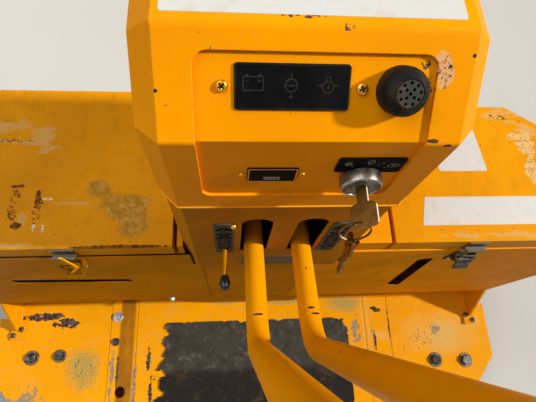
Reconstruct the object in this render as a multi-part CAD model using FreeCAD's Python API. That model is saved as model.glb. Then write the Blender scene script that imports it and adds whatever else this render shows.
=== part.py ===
"""Operator's control station of a site dumper: foot deck, cover boxes and steering console.

Sizes are in millimetres. X points to the operator's right, Y forward and Z up. The origin lies on the
floor, under the middle of the console's front face.
"""
import FreeCAD, Part
import math
import os
from FreeCAD import Vector

os.makedirs("parts", exist_ok=True)

# Sheet, plate and fits
sheet = 3.0
plate = 5.0
seam_gap = 1.0
fit_gap = 0.3
lever_clear = 5.2

# Deck, heights below are above the floor
deck_top = 60.0
deck_rear_half = 606.0
deck_wide_half = 647.0
deck_step_y = -15.0
deck_wide_y = -150.0
deck_corner_y = -280.0
deck_front_half = 540.0
deck_front_y = -380.0
deck_rear_y = 262.0
rail_inner = 303.0
rail_width = 66.0
rail_wall = 6.0
beam_height = 40.0
beam_thick = 10.0
beam_y = (-350.0, -52.0, 202.0)
mat_half = 246.0
mat_rear_y = -36.0
mat_front_y = -366.0
mat_thick = 4.0
mat_corner = 24.0
bolt_half_x = rail_inner + rail_width / 2
bolt_half_y = 200.0
bolt_hole_r = 8.5
access_hole_r = 13.0

# Console, heights above the deck
bend_height = 911.5
face_length = 82.0
face_tilt = 42.2
hood_height = 131.5
hood_lap = 20.0
face_half = 112.0
edge_chamfer = 19.0
console_depth = 235.0
top_round = 12.0
bend_round = 5.0
foot_drop = 60.0

# Window and instruments, s up the tilted face and b down the front from the bend
window_half = 86.0
window_up = 64.0
window_down = 100.5
window_round = 10.5
panel_depth = 3.0
panel_lap = 9.0
warning_s = 40.5
warning_size = (82.0, 32.0)
warning_x = -17.0
warning_proud = 3.0
buzzer_x = 60.5
buzzer_s = 39.4
buzzer_r = 17.5
buzzer_tip_r = 10.5
buzzer_high = 21.0
hour_x = -25.0
hour_b = 58.5
hour_size = (43.0, 26.5)
hour_proud = 1.5
switch_x = 52.2
switch_b = 60.5
switch_r = 18.5
switch_high = 12.0
switch_bore_r = 10.0
legend_size = (57.0, 26.0)
legend_x = 55.2
legend_b = 39.5
legend_thick = 1.2
key_thick = 2.6
key_turn = 48.0
key_bow = (24.0, 22.0)
key_neck = (10.0, 13.0)
key_eye_r = 3.8
ring_r = 14.0
ring_wire = 1.6
ring_lean = 16.0
spare_length = 58.0

# Steering levers
tube_r = 13.45
lever_table = [
    # name, x
    ("left", -29.0),
    ("right", 36.5),
]
lever_bend_y = -132.0
lever_bend_height = 657.0
arm_slope = 18.7
lever_lean = 6.5
bend_radius = 62.0
pivot_y = 96.0
lever_top_height = 1186.0
grip_bottom_height = 1084.0
grip_r = 17.5
hub_r = 20.0
hub_width = 38.0
shaft_r = 10.0
bearing_half = 26.0
bearing_thick = 14.0
slot_low_height = 588.0
slot_high_height = 731.0

# Guide plates and the small hand lever
guide_table = [
    # name, x
    ("left", -68.5),
    ("right", 72.0),
]
guide_width = 24.0
guide_low_height = 592.0
guide_high_height = 718.5
guide_thick = 2.5
guide_slot_width = 9.0
hand_x = guide_table[0][1]
hand_r = 3.5
hand_hub_r = 16.0
hand_hub_width = 12.0
hand_end_y = -44.0
hand_end_height = 613.0
knob_r = 7.6
knob_length = 21.0

# Cover boxes, cross panel and lids
panel_front_y = 8.0
panel_low_height = 110.0
panel_top_height = 550.0
box_face_half = 600.0
facet_run = 90.0
facet_rise = 38.0
end_back_y = 62.0
box_table = [
    # name, side, inner edge, seam beside the centre panel, latch x, rear y, rear corner x
    ("left", -1, 140.0, 107.0, 295.0, 270.0, 470.0),
    ("right", 1, 181.0, 78.0, 316.0, 249.0, 409.0),
]
lid_gap = 0.6
lid_rim = 39.4
lid_setback = 2.5
lid_height = panel_top_height + lid_gap + lid_rim
shelf_gap = 6.5
panel_slots = {
    # side: corners as X and height
    "left": [(-452.0, 389.0), (-246.0, 374.0), (-246.0, 350.0), (-452.0, 363.0)],
    "right": [(289.0, 236.0), (319.0, 232.0), (284.0, 498.0), (260.0, 486.0)],
}
slot_round = 7.0

# Lid hinges
hinge_x = (220.0, 350.0)
hinge_length = 60.0
hinge_r = 7.0
hinge_pin_r = 3.5
hinge_back = 8.0
hinge_rise = 6.0
strap_reach = 28.0
strap_thick = 3.0

# Toggle latches and brackets
latch_width = 34.0
latch_drop = 52.0
latch_plate = 2.5
latch_roll_r = 5.0
keeper_width = 32.0
keeper_thick = 2.5
keeper_reach = 11.0
bracket_in = 2.0
bracket_thick = 6.0
bracket_reach = 54.0
bracket_behind = 60.0
bracket_lip = 14.0
bracket_foot_half = 15.0
bracket_foot_length = 34.0
bracket_foot_ahead = 22.0


# Sizes that follow from those above
column_foot = panel_top_height - foot_drop
box_end_half = box_face_half + facet_run
facet_back_y = panel_front_y + facet_rise
bracket_x = box_face_half - bracket_in
console_half = face_half + edge_chamfer
rail_outer = rail_inner + rail_width


def height(value):
    """Z of a height above the deck."""
    return deck_top + value


def box(x0, x1, y0, y1, z0, z1):
    """Block between two corners."""
    return Part.makeBox(x1 - x0, y1 - y0, z1 - z0, Vector(x0, y0, z0))


def rod(start, end, radius):
    """Round bar from one point to another."""
    run = end - start
    return Part.makeCylinder(radius, run.Length, start, run)


def plan(points, z0, z1):
    """Outline of X and Y points, raised from z0 to z1."""
    wire = Part.makePolygon([Vector(x, y, z0) for x, y in points + points[:1]])
    return Part.Face(wire).extrude(Vector(0, 0, z1 - z0))


def side(points, x0, x1):
    """Outline of Y and Z points, drawn out from x0 to x1."""
    wire = Part.makePolygon([Vector(x0, y, z) for y, z in points + points[:1]])
    return Part.Face(wire).extrude(Vector(x1 - x0, 0, 0))


def mirrored(points, sign):
    """Plan points of the right side, on the side that the sign gives."""
    return [(sign * x, y) for x, y in points]


def rounded(shape, radius, keep):
    """Fillet of the edges that keep accepts."""
    return shape.makeFillet(radius, [edge for edge in shape.Edges if keep(edge)])


def runs_along(edge, axis):
    """Whether a straight edge lies along a unit axis."""
    ends = [vertex.Point for vertex in edge.Vertexes]
    if len(ends) < 2:
        return False
    run = ends[1] - ends[0]
    return run.Length > 1e-6 and abs(abs(run.normalize().dot(axis)) - 1) < 1e-6


def fused(first, *others):
    """One clean solid from solids that touch."""
    return first.fuse(list(others)).removeSplitter()


def write(name, shape):
    """One file for each piece."""
    shape.exportStep("parts/" + name + ".step")


axis_x = Vector(1, 0, 0)
axis_y = Vector(0, 1, 0)
axis_z = Vector(0, 0, 1)
tilt = math.radians(face_tilt)
slope = math.radians(arm_slope)
lean = math.radians(lever_lean)
bend_z = height(bend_height)
seam_z = bend_z - hood_height
face_up = Vector(0, math.cos(tilt), math.sin(tilt))
face_out = Vector(0, -math.sin(tilt), math.cos(tilt))
lid_top = height(lid_height)


def on_face(x, s, out=0.0):
    """Point on the tilted face, s up from the bend."""
    return Vector(x, 0, bend_z) + face_up * s + face_out * out


def face_block(x, s, width, length, low, high):
    """Block that stands on the tilted face between two distances from it."""
    block = Part.makeBox(width, length, high - low)
    spin = FreeCAD.Rotation(axis_x, face_up, face_out, "XYZ")
    block.Placement = FreeCAD.Placement(on_face(x - width / 2, s - length / 2, low), spin)
    return block


# Deck
def deck_outline(side_name):
    """Plan points of the left, centre or right deck plate."""
    if side_name == "centre":
        edge = rail_inner - seam_gap
        return [(-edge, deck_front_y), (edge, deck_front_y), (edge, deck_rear_y), (-edge, deck_rear_y)]
    points = [
        (rail_outer + seam_gap, deck_front_y),
        (deck_front_half, deck_front_y),
        (deck_front_half, deck_corner_y),
        (deck_wide_half, deck_wide_y),
        (deck_wide_half, deck_step_y),
        (deck_rear_half, deck_step_y),
        (deck_rear_half, deck_rear_y),
        (rail_outer + seam_gap, deck_rear_y),
    ]
    return mirrored(points, -1 if side_name == "left" else 1)


def make_deck():
    """Deck plates, rails, cross beams and the grip mat."""
    for name in ("left", "centre", "right"):
        write("deck_plate_" + name, plan(deck_outline(name), deck_top - plate, deck_top))
    for name, sign in (("left", -1), ("right", 1)):
        inner, outer = sorted((sign * rail_inner, sign * rail_outer))
        bar = box(inner, outer, deck_front_y, deck_rear_y, 0, deck_top)
        hollow = box(inner + rail_wall, outer - rail_wall, deck_front_y - 1, deck_rear_y + 1,
                     rail_wall, deck_top - rail_wall)
        bar = bar.cut(hollow)
        for y in (-bolt_half_y, bolt_half_y):
            low = Vector(sign * bolt_half_x, y, -1)
            upper = low + axis_z * (deck_top - rail_wall)
            bar = bar.cut([rod(low, low + axis_z * (rail_wall + 2), bolt_hole_r),
                           rod(upper, upper + axis_z * (rail_wall + 2), access_hole_r)])
        write("rail_" + name, bar)
    spans = [(-rail_inner, rail_inner), (rail_outer, deck_front_half), (-deck_front_half, -rail_outer)]
    beams = [box(x0, x1, y, y + beam_thick, deck_top - plate - beam_height, deck_top - plate)
             for y in beam_y for x0, x1 in spans]
    write("cross_beams", Part.makeCompound(beams))
    edge = mat_half - mat_corner
    mat = plan([
        (-mat_half, mat_front_y + mat_corner), (-edge, mat_front_y), (edge, mat_front_y),
        (mat_half, mat_front_y + mat_corner), (mat_half, mat_rear_y - mat_corner), (edge, mat_rear_y),
        (-edge, mat_rear_y), (-mat_half, mat_rear_y - mat_corner),
    ], deck_top, deck_top + mat_thick)
    write("grip_mat", mat)


# Console
def hood_form(inset, low_z):
    """Hood's outer form, or its inside when inset by the sheet."""
    half = console_half - inset
    front = inset
    top = height(bend_height) + face_length * math.sin(tilt) - inset
    bend = bend_z + inset * (math.sin(tilt) - 1) / math.cos(tilt)
    run = (inset + (top - bend_z) * math.cos(tilt)) / math.sin(tilt)
    back = console_depth - inset
    form = side([(front, low_z), (front, bend), (run, top), (back, top), (back, low_z)], -half, half)
    leg = edge_chamfer - inset * (2 - math.sqrt(2))

    def corner(edge):
        middle = edge.CenterOfMass
        return abs(abs(middle.x) - half) < 1e-6 and not runs_along(edge, axis_y) \
            and middle.z > low_z + 1e-6 and middle.y < back - 1e-6 \
            or abs(abs(middle.x) - half) < 1e-6 and abs(middle.z - top) < 1e-6
    form = form.makeChamfer(leg, [edge for edge in form.Edges if corner(edge)])
    if inset:
        return form
    form = rounded(form, top_round, lambda edge: runs_along(edge, axis_x)
                   and abs(edge.CenterOfMass.z - top) < 1e-6 and edge.CenterOfMass.y < run + 1)
    return rounded(form, bend_round, lambda edge: runs_along(edge, axis_x)
                   and abs(edge.CenterOfMass.z - bend) < 1e-6)


def ring_plan(inset, front_y):
    """Console outline in plan, with the front corners cut at 45 degrees."""
    half = console_half - inset
    leg = edge_chamfer - inset * (2 - math.sqrt(2))
    back = console_depth - inset
    front = front_y
    return [(-half + leg, front), (half - leg, front), (half, front + leg), (half, back), (-half, back),
            (-half, front + leg)]


def window_cut(grow, low, high):
    """Round-cornered window that runs over the bend, between two depths."""
    half = window_half + grow
    up = window_up + grow
    down = window_down + grow
    upper = face_block(0, up / 2, 2 * half, up, low, high)
    lower = box(-half, half, -high, -low, bend_z - down, bend_z)
    cut = upper.fuse(lower)
    if high > 0:
        cut = cut.fuse(side([(0, bend_z), (-high, bend_z),
                             (face_out.y * high, bend_z + face_out.z * high)], -half, half))
    cut = cut.removeSplitter()
    corners = []
    for edge in cut.Edges:
        middle = edge.CenterOfMass
        if abs(abs(middle.x) - half) > 1e-6:
            continue
        flat = runs_along(edge, axis_y) and abs(middle.z - (bend_z - down)) < 1e-6
        sloped = runs_along(edge, face_out)
        if flat or sloped and middle.z > bend_z + 10:
            corners.append(edge)
    return cut.makeFillet(window_round + grow, corners)


def make_console():
    """Hood with its window, and the column under it."""
    hood = hood_form(0, seam_z).cut(hood_form(sheet, seam_z - 1))
    window = window_cut(0, -sheet - 6, sheet + 6)
    write("console_hood", hood.cut(window))

    upper_out = plan(ring_plan(sheet, sheet), height(column_foot), seam_z + hood_lap)
    upper_in = plan(ring_plan(2 * sheet, 2 * sheet), height(column_foot) - 1, seam_z + hood_lap + 1)
    lower_front = panel_front_y + sheet
    lower_out = plan(ring_plan(sheet, lower_front), deck_top, height(column_foot))
    lower_in = plan(ring_plan(2 * sheet, lower_front + sheet), deck_top - 1, height(column_foot) + 1)
    ledge = plan(ring_plan(sheet, sheet), height(column_foot), height(column_foot) + sheet)
    keep = box(-console_half, console_half, 0, lower_front + sheet, 0, bend_z)
    column = upper_out.cut(upper_in).fuse([lower_out.cut(lower_in), ledge.common(keep)])
    column = column.cut(lower_in)
    for name, x in lever_table:
        half = tube_r + lever_clear
        low = height(slot_low_height)
        high = height(slot_high_height) - half
        slot = box(x - half, x + half, -1, 4 * sheet, low, high)
        slot = slot.fuse(rod(Vector(x, -1, high), Vector(x, 4 * sheet, high), half)).removeSplitter()
        slot = rounded(slot, 8, lambda edge: runs_along(edge, axis_y)
                       and abs(edge.CenterOfMass.z - low) < 1e-6)
        column = column.cut(slot)
    for name, x in guide_table:
        column = column.cut(guide_slot(x))
    write("console_column", column.removeSplitter())


def guide_slot(x):
    """Round-ended slot through a guide plate and the wall behind it."""
    half = guide_slot_width / 2
    low = height(guide_low_height) + 2 + half
    high = height(guide_high_height) - 14
    slot = box(x - half, x + half, -2, 3 * sheet, low, high)
    for z in (low, high):
        slot = slot.fuse(rod(Vector(x, -2, z), Vector(x, 3 * sheet, z), half))
    return slot.removeSplitter()


def make_instruments():
    """Bent instrument panel and what is mounted on it."""
    high = -panel_depth
    half = window_half + panel_lap
    front_up = window_up + panel_lap
    front_down = window_down + panel_lap
    inner = []
    for depth in (panel_depth, panel_depth + sheet):
        bend = bend_z + depth * (math.sin(tilt) - 1) / math.cos(tilt)
        end = on_face(0, front_up, -depth)
        inner.append(((depth, bend_z - front_down), (depth, bend), (end.y, end.z)))
    outline = list(inner[0]) + list(inner[1])[::-1]
    panel = side(outline, -half, half)
    switch_z = bend_z - switch_b
    neck = rod(Vector(switch_x, 0, switch_z), Vector(switch_x, 30, switch_z), switch_bore_r)
    write("instrument_panel", panel.cut(neck))

    width, length = warning_size
    unit = face_block(warning_x, warning_s, width, length, high, high + warning_proud)
    unit = rounded(unit, 2, lambda edge: runs_along(edge, face_out))
    write("warning_light_unit", unit)

    base = on_face(buzzer_x, buzzer_s, high)
    buzzer = fused(Part.makeCylinder(buzzer_r, buzzer_high / 3),
                   Part.makeCone(buzzer_r, buzzer_tip_r, 2 * buzzer_high / 3, Vector(0, 0, buzzer_high / 3)))
    buzzer.Placement = FreeCAD.Placement(base, FreeCAD.Rotation(axis_x, face_up, face_out, "XYZ"))
    write("buzzer", buzzer)

    width, length = hour_size
    hour = box(hour_x - width / 2, hour_x + width / 2, panel_depth - hour_proud, panel_depth,
               bend_z - hour_b - length / 2, bend_z - hour_b + length / 2)
    write("hour_meter", hour)

    width, length = legend_size
    legend = box(legend_x - width / 2, legend_x + width / 2, panel_depth - legend_thick, panel_depth,
                 bend_z - legend_b - length / 2, bend_z - legend_b + length / 2)
    legend = rounded(legend, 3, lambda edge: runs_along(edge, axis_y)).cut(neck)
    write("legend_plate", legend)

    seat_y = panel_depth - legend_thick
    tip_y = seat_y - switch_high
    middle = Vector(switch_x, 0, switch_z)
    switch = fused(
        rod(middle + axis_y * 24, middle + axis_y * seat_y, switch_bore_r),
        rod(middle + axis_y * seat_y, middle + axis_y * tip_y, switch_r))
    mouth = Vector(switch_x, tip_y, switch_z)
    write("ignition_switch", switch.cut(key_blank(mouth)))
    make_keys(mouth)


def turned(shape, mouth):
    """Shape turned about the key's long axis, which runs along Y."""
    return shape.rotate(mouth, axis_y, key_turn)


def key_blank(mouth):
    """Key's neck, from inside the switch to the bow, upright before it is turned."""
    wide, length = key_neck
    neck = box(mouth.x - key_thick / 2, mouth.x + key_thick / 2, mouth.y - length, mouth.y + 4,
               mouth.z - wide / 2, mouth.z + wide / 2)
    return turned(neck, mouth)


def make_keys(mouth):
    """Key in the switch, and the ring through its eye with a spare key hanging from it."""
    half = key_thick / 2
    wide, length = key_bow
    start = mouth.y - key_neck[1]
    bow = box(mouth.x - half, mouth.x + half, start - length, start, mouth.z - wide / 2, mouth.z + wide / 2)
    bow = rounded(bow, 5, lambda edge: runs_along(edge, axis_x))
    eye = Vector(mouth.x, start - length + 5.5, mouth.z - wide / 2 + 6)
    bow = bow.cut(rod(eye - axis_x * 4, eye + axis_x * 4, key_eye_r))
    write("ignition_key", fused(turned(bow, mouth), key_blank(mouth)))

    spin = FreeCAD.Placement(Vector(0, 0, 0), FreeCAD.Rotation(axis_y, key_turn), mouth)
    hook = spin.multVec(eye)
    lean_over = FreeCAD.Placement(Vector(0, 0, 0), FreeCAD.Rotation(axis_x, -ring_lean), hook)
    wire = ring_wire / 2
    sag = key_eye_r - wire - fit_gap
    centre = hook - axis_z * ring_r
    ring = rod(centre - axis_y * wire, centre + axis_y * wire, ring_r + wire)
    ring = ring.cut(rod(centre - axis_y * 5, centre + axis_y * 5, ring_r - wire))
    hang = centre - axis_z * (ring_r + sag)
    head = box(hang.x - half, hang.x + half, hang.y - 9, hang.y + 9, hang.z - 17, hang.z + 6.5)
    head = rounded(head, 5, lambda edge: runs_along(edge, axis_x))
    shank = box(hang.x - half, hang.x + half, hang.y - 4, hang.y + 4, hang.z - spare_length, hang.z - 16)
    spare = fused(head, shank).cut(rod(hang - axis_x * 4, hang + axis_x * 4, key_eye_r))
    hung = Part.makeCompound([ring, spare])
    hung.Placement = lean_over
    write("spare_key_ring", hung)


# Steering levers
def lever_point(distance, upper):
    """Point on a lever's axis, from its bend along the arm or up the stem, in the plane x = 0."""
    corner = Vector(0, lever_bend_y, height(lever_bend_height))
    if upper:
        return corner + Vector(0, -math.sin(lean), math.cos(lean)) * distance
    return corner + Vector(0, math.cos(slope), -math.sin(slope)) * distance


arm_length = (pivot_y - lever_bend_y) / math.cos(slope)
pivot = lever_point(arm_length, False)
stem_length = (lever_top_height - lever_bend_height) / math.cos(lean)


def make_levers():
    """Bent steering levers with their hubs and grips, and the shaft that carries them."""
    turn = math.acos(lever_point(1, True).sub(lever_point(0, True)).dot(
        lever_point(1, False).sub(lever_point(0, False))))
    cut_back = bend_radius / math.tan(turn / 2)
    for name, x in lever_table:
        shift = Vector(x, 0, 0)
        a = lever_point(arm_length, False) + shift
        b = lever_point(cut_back, False) + shift
        c = lever_point(cut_back, True) + shift
        d = lever_point(stem_length, True) + shift
        corner = lever_point(0, True) + shift
        inward = ((b - corner) + (c - corner)).normalize()
        middle = corner + inward * (bend_radius / math.sin(turn / 2) - bend_radius)
        spine = Part.Wire([Part.LineSegment(a, b).toShape(), Part.Arc(b, middle, c).toShape(),
                           Part.LineSegment(c, d).toShape()])
        ring = Part.Wire([Part.Circle(a, a - b, tube_r).toShape()])
        tube = spine.makePipeShell([ring], True, True)
        hub = rod(a - axis_x * (hub_width / 2), a + axis_x * (hub_width / 2), hub_r)
        bore = rod(a - axis_x * hub_width, a + axis_x * hub_width, shaft_r + 0.05)
        write("steering_lever_" + name, fused(tube, hub).cut(bore))
        write("lever_grip_" + name, make_grip(x))
    half = console_half - 2 * sheet
    shaft = rod(pivot - axis_x * half, pivot + axis_x * half, shaft_r)
    write("pivot_shaft", shaft)
    for name, sign in (("left", -1), ("right", 1)):
        wall = pivot + axis_x * (sign * half)
        inner = pivot + axis_x * (sign * (half - bearing_thick))
        block = box(*sorted((wall.x, inner.x)), pivot.y - bearing_half, pivot.y + bearing_half,
                    pivot.z - bearing_half, pivot.z + bearing_half)
        write("shaft_bearing_" + name, block.cut(shaft))


def make_grip(x):
    """Hand grip over the top of a lever, with a collar at its foot and a closed end."""
    low = (grip_bottom_height - lever_bend_height) / math.cos(lean)
    start = lever_point(low, True) + Vector(x, 0, 0)
    up = lever_point(1, True) - lever_point(0, True)
    inside = stem_length - low
    grip = fused(Part.makeCylinder(grip_r + 3, 6),
                 Part.makeCylinder(grip_r, inside),
                 Part.makeCone(grip_r, grip_r - 5, 6, Vector(0, 0, inside)))
    grip = grip.cut(Part.makeCylinder(tube_r, inside))
    grip.Placement = FreeCAD.Placement(start, FreeCAD.Rotation(axis_z, up))
    return grip


def make_hand_lever():
    """Guide plates on the column, and the small hand lever that comes out through the left one."""
    for name, x in guide_table:
        guide = box(x - guide_width / 2, x + guide_width / 2, sheet - guide_thick, sheet,
                    height(guide_low_height), height(guide_high_height))
        guide = rounded(guide, 4, lambda edge: runs_along(edge, axis_y)).cut(guide_slot(x))
        write("guide_plate_" + name, guide)
    centre = Vector(hand_x, pivot.y, pivot.z)
    end = Vector(hand_x, hand_end_y, height(hand_end_height))
    hub = rod(centre - axis_x * (hand_hub_width / 2), centre + axis_x * (hand_hub_width / 2), hand_hub_r)
    stem = rod(centre, end, hand_r)
    lever = fused(hub, stem).cut(rod(centre - axis_x * 30, centre + axis_x * 30, shaft_r))
    write("hand_lever", lever)
    along = (end - centre).normalize()
    points = [Vector(0, 0, 0), Vector(5, 0, 0), Vector(knob_r, 0, knob_length / 2),
              Vector(5, 0, knob_length), Vector(0, 0, knob_length), Vector(0, 0, 0)]
    knob = Part.Face(Part.makePolygon(points)).revolve(Vector(0, 0, 0), axis_z, 360)
    knob.Placement = FreeCAD.Placement(end - along * 8, FreeCAD.Rotation(axis_z, along))
    write("hand_lever_knob", knob.cut(stem))


# Cover boxes
def box_plan(inner, rear_y, corner_x, offset):
    """Plan of a cover box on the right, moved inward by the offset."""
    facet = math.atan2(facet_back_y - panel_front_y, box_end_half - box_face_half)
    rear = math.atan2(rear_y - end_back_y, box_end_half - corner_x)
    x0 = inner + offset
    y0 = panel_front_y + offset
    x1 = box_end_half - offset
    y3 = rear_y - offset
    face_x = box_face_half - offset * math.tan(facet / 2)
    rear_x = corner_x - offset * math.tan(rear / 2)
    facet_y = y0 + (x1 - face_x) * math.tan(facet)
    back_y = y3 - (x1 - rear_x) * math.tan(rear)
    return [(x0, y0), (face_x, y0), (x1, facet_y), (x1, back_y), (rear_x, y3), (x0, y3)]


def make_boxes():
    """Cross panel in three pieces, and the cover boxes behind it."""
    low = height(panel_low_height)
    top = height(panel_top_height)
    foot = height(column_foot)
    back_y = panel_front_y + sheet
    seams = {row[0]: row[3] for row in box_table}
    centre = box(-seams["left"] + seam_gap, seams["right"] - seam_gap, panel_front_y, back_y,
                 low, foot - seam_gap)
    write("centre_panel", centre)
    notch = face_half + back_y - sheet + seam_gap
    for name, sign, inner, seam, latch, rear_y, corner_x in box_table:
        outer = plan(mirrored(box_plan(inner, rear_y, corner_x, 0), sign), low, top)
        hollow = plan(mirrored(box_plan(inner, rear_y, corner_x, sheet), sign), low + sheet, top + 1)
        shell = outer.cut(hollow)
        zone = plan(mirrored([(inner - 1, 0), (box_end_half + 1, 0), (box_end_half + 1, facet_back_y),
                              (box_face_half - 20, facet_back_y), (box_face_half - 20, back_y),
                              (inner - 1, back_y)], sign), low - 1, top + 1)
        lower = box(*sorted((sign * seam, sign * (inner + 5))), panel_front_y, back_y, low, foot - seam_gap)
        beside = box(*sorted((sign * notch, sign * (inner + 5))), panel_front_y, back_y, foot - 2, top)
        panel = shell.common(zone).fuse([lower, beside]).removeSplitter()
        shelf = make_shelf(sign, inner, rear_y, top)
        write("side_box_" + name, fused(shell.cut(zone), *shelf))
        corners = [Vector(x, 0, height(z)) for x, z in panel_slots[name]]
        slot = Part.Face(Part.makePolygon(corners + corners[:1])).extrude(axis_y * (back_y + 1))
        slot = rounded(slot, slot_round, lambda edge: runs_along(edge, axis_y))
        write("cross_panel_" + name, panel.cut(slot))
        make_lid(name, sign, inner, latch, rear_y, corner_x)
        make_bracket(name, sign)


def make_shelf(sign, inner, rear_y, top):
    """Fixed cover between the console and a lid, level with the lid."""
    near = console_half - sheet
    far = inner + lid_setback - shelf_gap
    front = panel_front_y + sheet
    back = rear_y - sheet
    return [
        box(*sorted((sign * near, sign * (inner + sheet))), front, back, top - sheet, top),
        box(*sorted((sign * near, sign * far)), front, back, lid_top - sheet, lid_top),
        box(*sorted((sign * (far - sheet), sign * far)), front, back, top - sheet, lid_top),
        box(*sorted((sign * near, sign * far)), front, front + sheet, top - sheet, lid_top),
    ]


def make_lid(name, sign, inner, latch, rear_y, corner_x):
    """Pan-shaped lid with its keeper and two hinges, and the toggle latch below it."""
    low = height(panel_top_height) + lid_gap
    skirt = lid_setback + sheet
    outer = plan(mirrored(box_plan(inner, rear_y, corner_x, lid_setback), sign), low, lid_top)
    hollow = plan(mirrored(box_plan(inner, rear_y, corner_x, skirt), sign), low - 1, lid_top - sheet)
    x = sign * latch
    face = panel_front_y + lid_setback
    skin = face - keeper_thick
    tip = face - keeper_reach
    ledge = low + 16
    keeper = side([(face, low + 5), (skin, low + 5), (skin, ledge), (tip, ledge), (tip, ledge + 8),
                   (tip + keeper_thick, ledge + 8), (tip + keeper_thick, ledge + keeper_thick),
                   (skin, ledge + keeper_thick), (skin, lid_top - 4), (face, lid_top - 4)],
                  x - keeper_width / 2, x + keeper_width / 2)
    write("lid_" + name, fused(outer.cut(hollow), keeper))

    axis = Vector(0, rear_y + hinge_back, height(panel_top_height) + hinge_rise)
    rim_y = rear_y - lid_setback
    third = hinge_length / 3
    fixed = []
    straps = []
    for centre in hinge_x:
        middle = sign * centre
        left = middle - hinge_length / 2
        right = middle + hinge_length / 2
        pin = rod(Vector(left, axis.y, axis.z), Vector(right, axis.y, axis.z), hinge_pin_r)
        bore = rod(Vector(left - 1, axis.y, axis.z), Vector(right + 1, axis.y, axis.z), hinge_pin_r + 0.05)
        leaf = box(left, right, rear_y, rear_y + sheet, axis.z - 46, axis.z - 9)
        pieces = [leaf, pin]
        for x0 in (left, right - third):
            web = box(x0, x0 + third, rear_y + 2, rear_y + hinge_back + 4, axis.z - 15, axis.z - 4)
            pieces += [web, rod(Vector(x0, axis.y, axis.z), Vector(x0 + third, axis.y, axis.z), hinge_r)]
        fixed.append(fused(*pieces))
        x0 = middle - third / 2 + fit_gap
        x1 = middle + third / 2 - fit_gap
        strap = box(x0, x1, rim_y, rim_y + strap_thick, axis.z - 3, axis.z + strap_reach)
        drop = box(x0, x1, rim_y, axis.y, axis.z - 3, axis.z + 3)
        knuckle = rod(Vector(x0, axis.y, axis.z), Vector(x1, axis.y, axis.z), hinge_r)
        straps.append(fused(strap, drop, knuckle).cut(bore))
    write("lid_hinges_" + name, Part.makeCompound(fixed))
    write("lid_straps_" + name, Part.makeCompound(straps))

    make_latch(name, x)


def make_latch(name, x):
    """Toggle latch on the cross panel: base with two ears, folded handle, roller and wire bail."""
    top = height(panel_top_height) - 4
    low = top - latch_drop
    face = panel_front_y
    half = latch_width / 2
    back = face - latch_plate
    base = box(x - half, x + half, back, face, low, top)
    ear_points = [(back, low + 22), (back - 9, low + 29), (back - 9, low + 41), (back, low + 48)]
    ears = [side(ear_points, x - half, x - half + 2.5), side(ear_points, x + half - 2.5, x + half)]
    write("latch_base_" + name, fused(base, *ears))
    roll = Vector(x, back - 7, low + 35)
    inner = half - 2.8
    roller = rod(roll - axis_x * inner, roll + axis_x * inner, latch_roll_r)
    handle = side([(roll.y - 4, roll.z - 2), (roll.y - 6.5, roll.z), (roll.y - 9, roll.z - 13),
                   (roll.y - 13, roll.z - 16), (roll.y - 12, roll.z - 19), (roll.y - 7, roll.z - 15)],
                  x - inner + 2, x + inner - 2)
    reach = inner - 3
    wires = []
    for wire_x in (x - reach, x + reach):
        wires.append(rod(Vector(wire_x, roll.y, roll.z), Vector(wire_x, back - 6, top - 1), 1.8))
    cross = rod(Vector(x - reach, back - 6, top - 1), Vector(x + reach, back - 6, top - 1), 1.8)
    write("latch_toggle_" + name, fused(roller, handle, *wires, cross))


def make_bracket(name, sign):
    """Gusset that carries a cover box on the deck."""
    low = height(panel_low_height)
    x = sign * bracket_x
    x0, x1 = x - bracket_thick / 2, x + bracket_thick / 2
    front, rear = panel_front_y - bracket_reach, panel_front_y + bracket_behind
    web = side([(front, deck_top), (rear, deck_top), (rear, low), (panel_front_y, low),
                (front, deck_top + bracket_lip)], x0, x1)
    foot_front = front - bracket_foot_ahead
    foot = box(x - bracket_foot_half, x + bracket_foot_half, foot_front, foot_front + bracket_foot_length,
               deck_top, deck_top + bracket_thick)
    write("bracket_" + name, fused(web, foot))


make_deck()
make_console()
make_instruments()
make_levers()
make_hand_lever()
make_boxes()
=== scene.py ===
"""Looks of the operator's control station of a site dumper, worn orange enamel over a steel frame."""
import math
from functools import partial

import bmesh
import bpy
from mathutils import Matrix, Vector, noise


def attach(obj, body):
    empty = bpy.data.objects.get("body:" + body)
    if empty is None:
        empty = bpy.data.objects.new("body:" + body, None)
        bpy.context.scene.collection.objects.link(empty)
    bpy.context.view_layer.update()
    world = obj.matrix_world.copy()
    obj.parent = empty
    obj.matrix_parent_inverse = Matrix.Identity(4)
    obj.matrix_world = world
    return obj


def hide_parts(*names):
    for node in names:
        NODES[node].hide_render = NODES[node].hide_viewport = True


bl_info = {
    "name": "Dumper control station",
    "version": (1, 0, 0),
    "blender": (4, 5, 0),
    "location": "View3D > Sidebar > Control station",
    "description": "Finishes and fittings of a site dumper's control station",
    "category": "Object",
}

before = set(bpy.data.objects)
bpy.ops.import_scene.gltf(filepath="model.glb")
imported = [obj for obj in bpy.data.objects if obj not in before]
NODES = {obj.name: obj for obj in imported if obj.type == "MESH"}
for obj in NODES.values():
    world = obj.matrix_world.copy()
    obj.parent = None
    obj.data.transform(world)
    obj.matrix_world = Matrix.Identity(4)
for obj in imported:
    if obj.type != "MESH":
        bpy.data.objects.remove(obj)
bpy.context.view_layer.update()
MM = 0.001

# Faces that carry fittings: levels, depths and places in mm, and the tilt of the instrument face.
# INK is how thick a printed stroke is.
DECK_TOP = 60.0
BEND_Z = 971.5
FACE_TILT = math.radians(42.2)
PANEL_SUNK = 3.0
LID_TOP = 650.0
HOOD_TOP = 1026.6
BOX_FRONT = 8.0
BRACKET_TOP = 66.0
GUIDE_MIDDLE = 715.25
METER_MIDDLE = (-25, 913)
INK = 0.12

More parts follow.
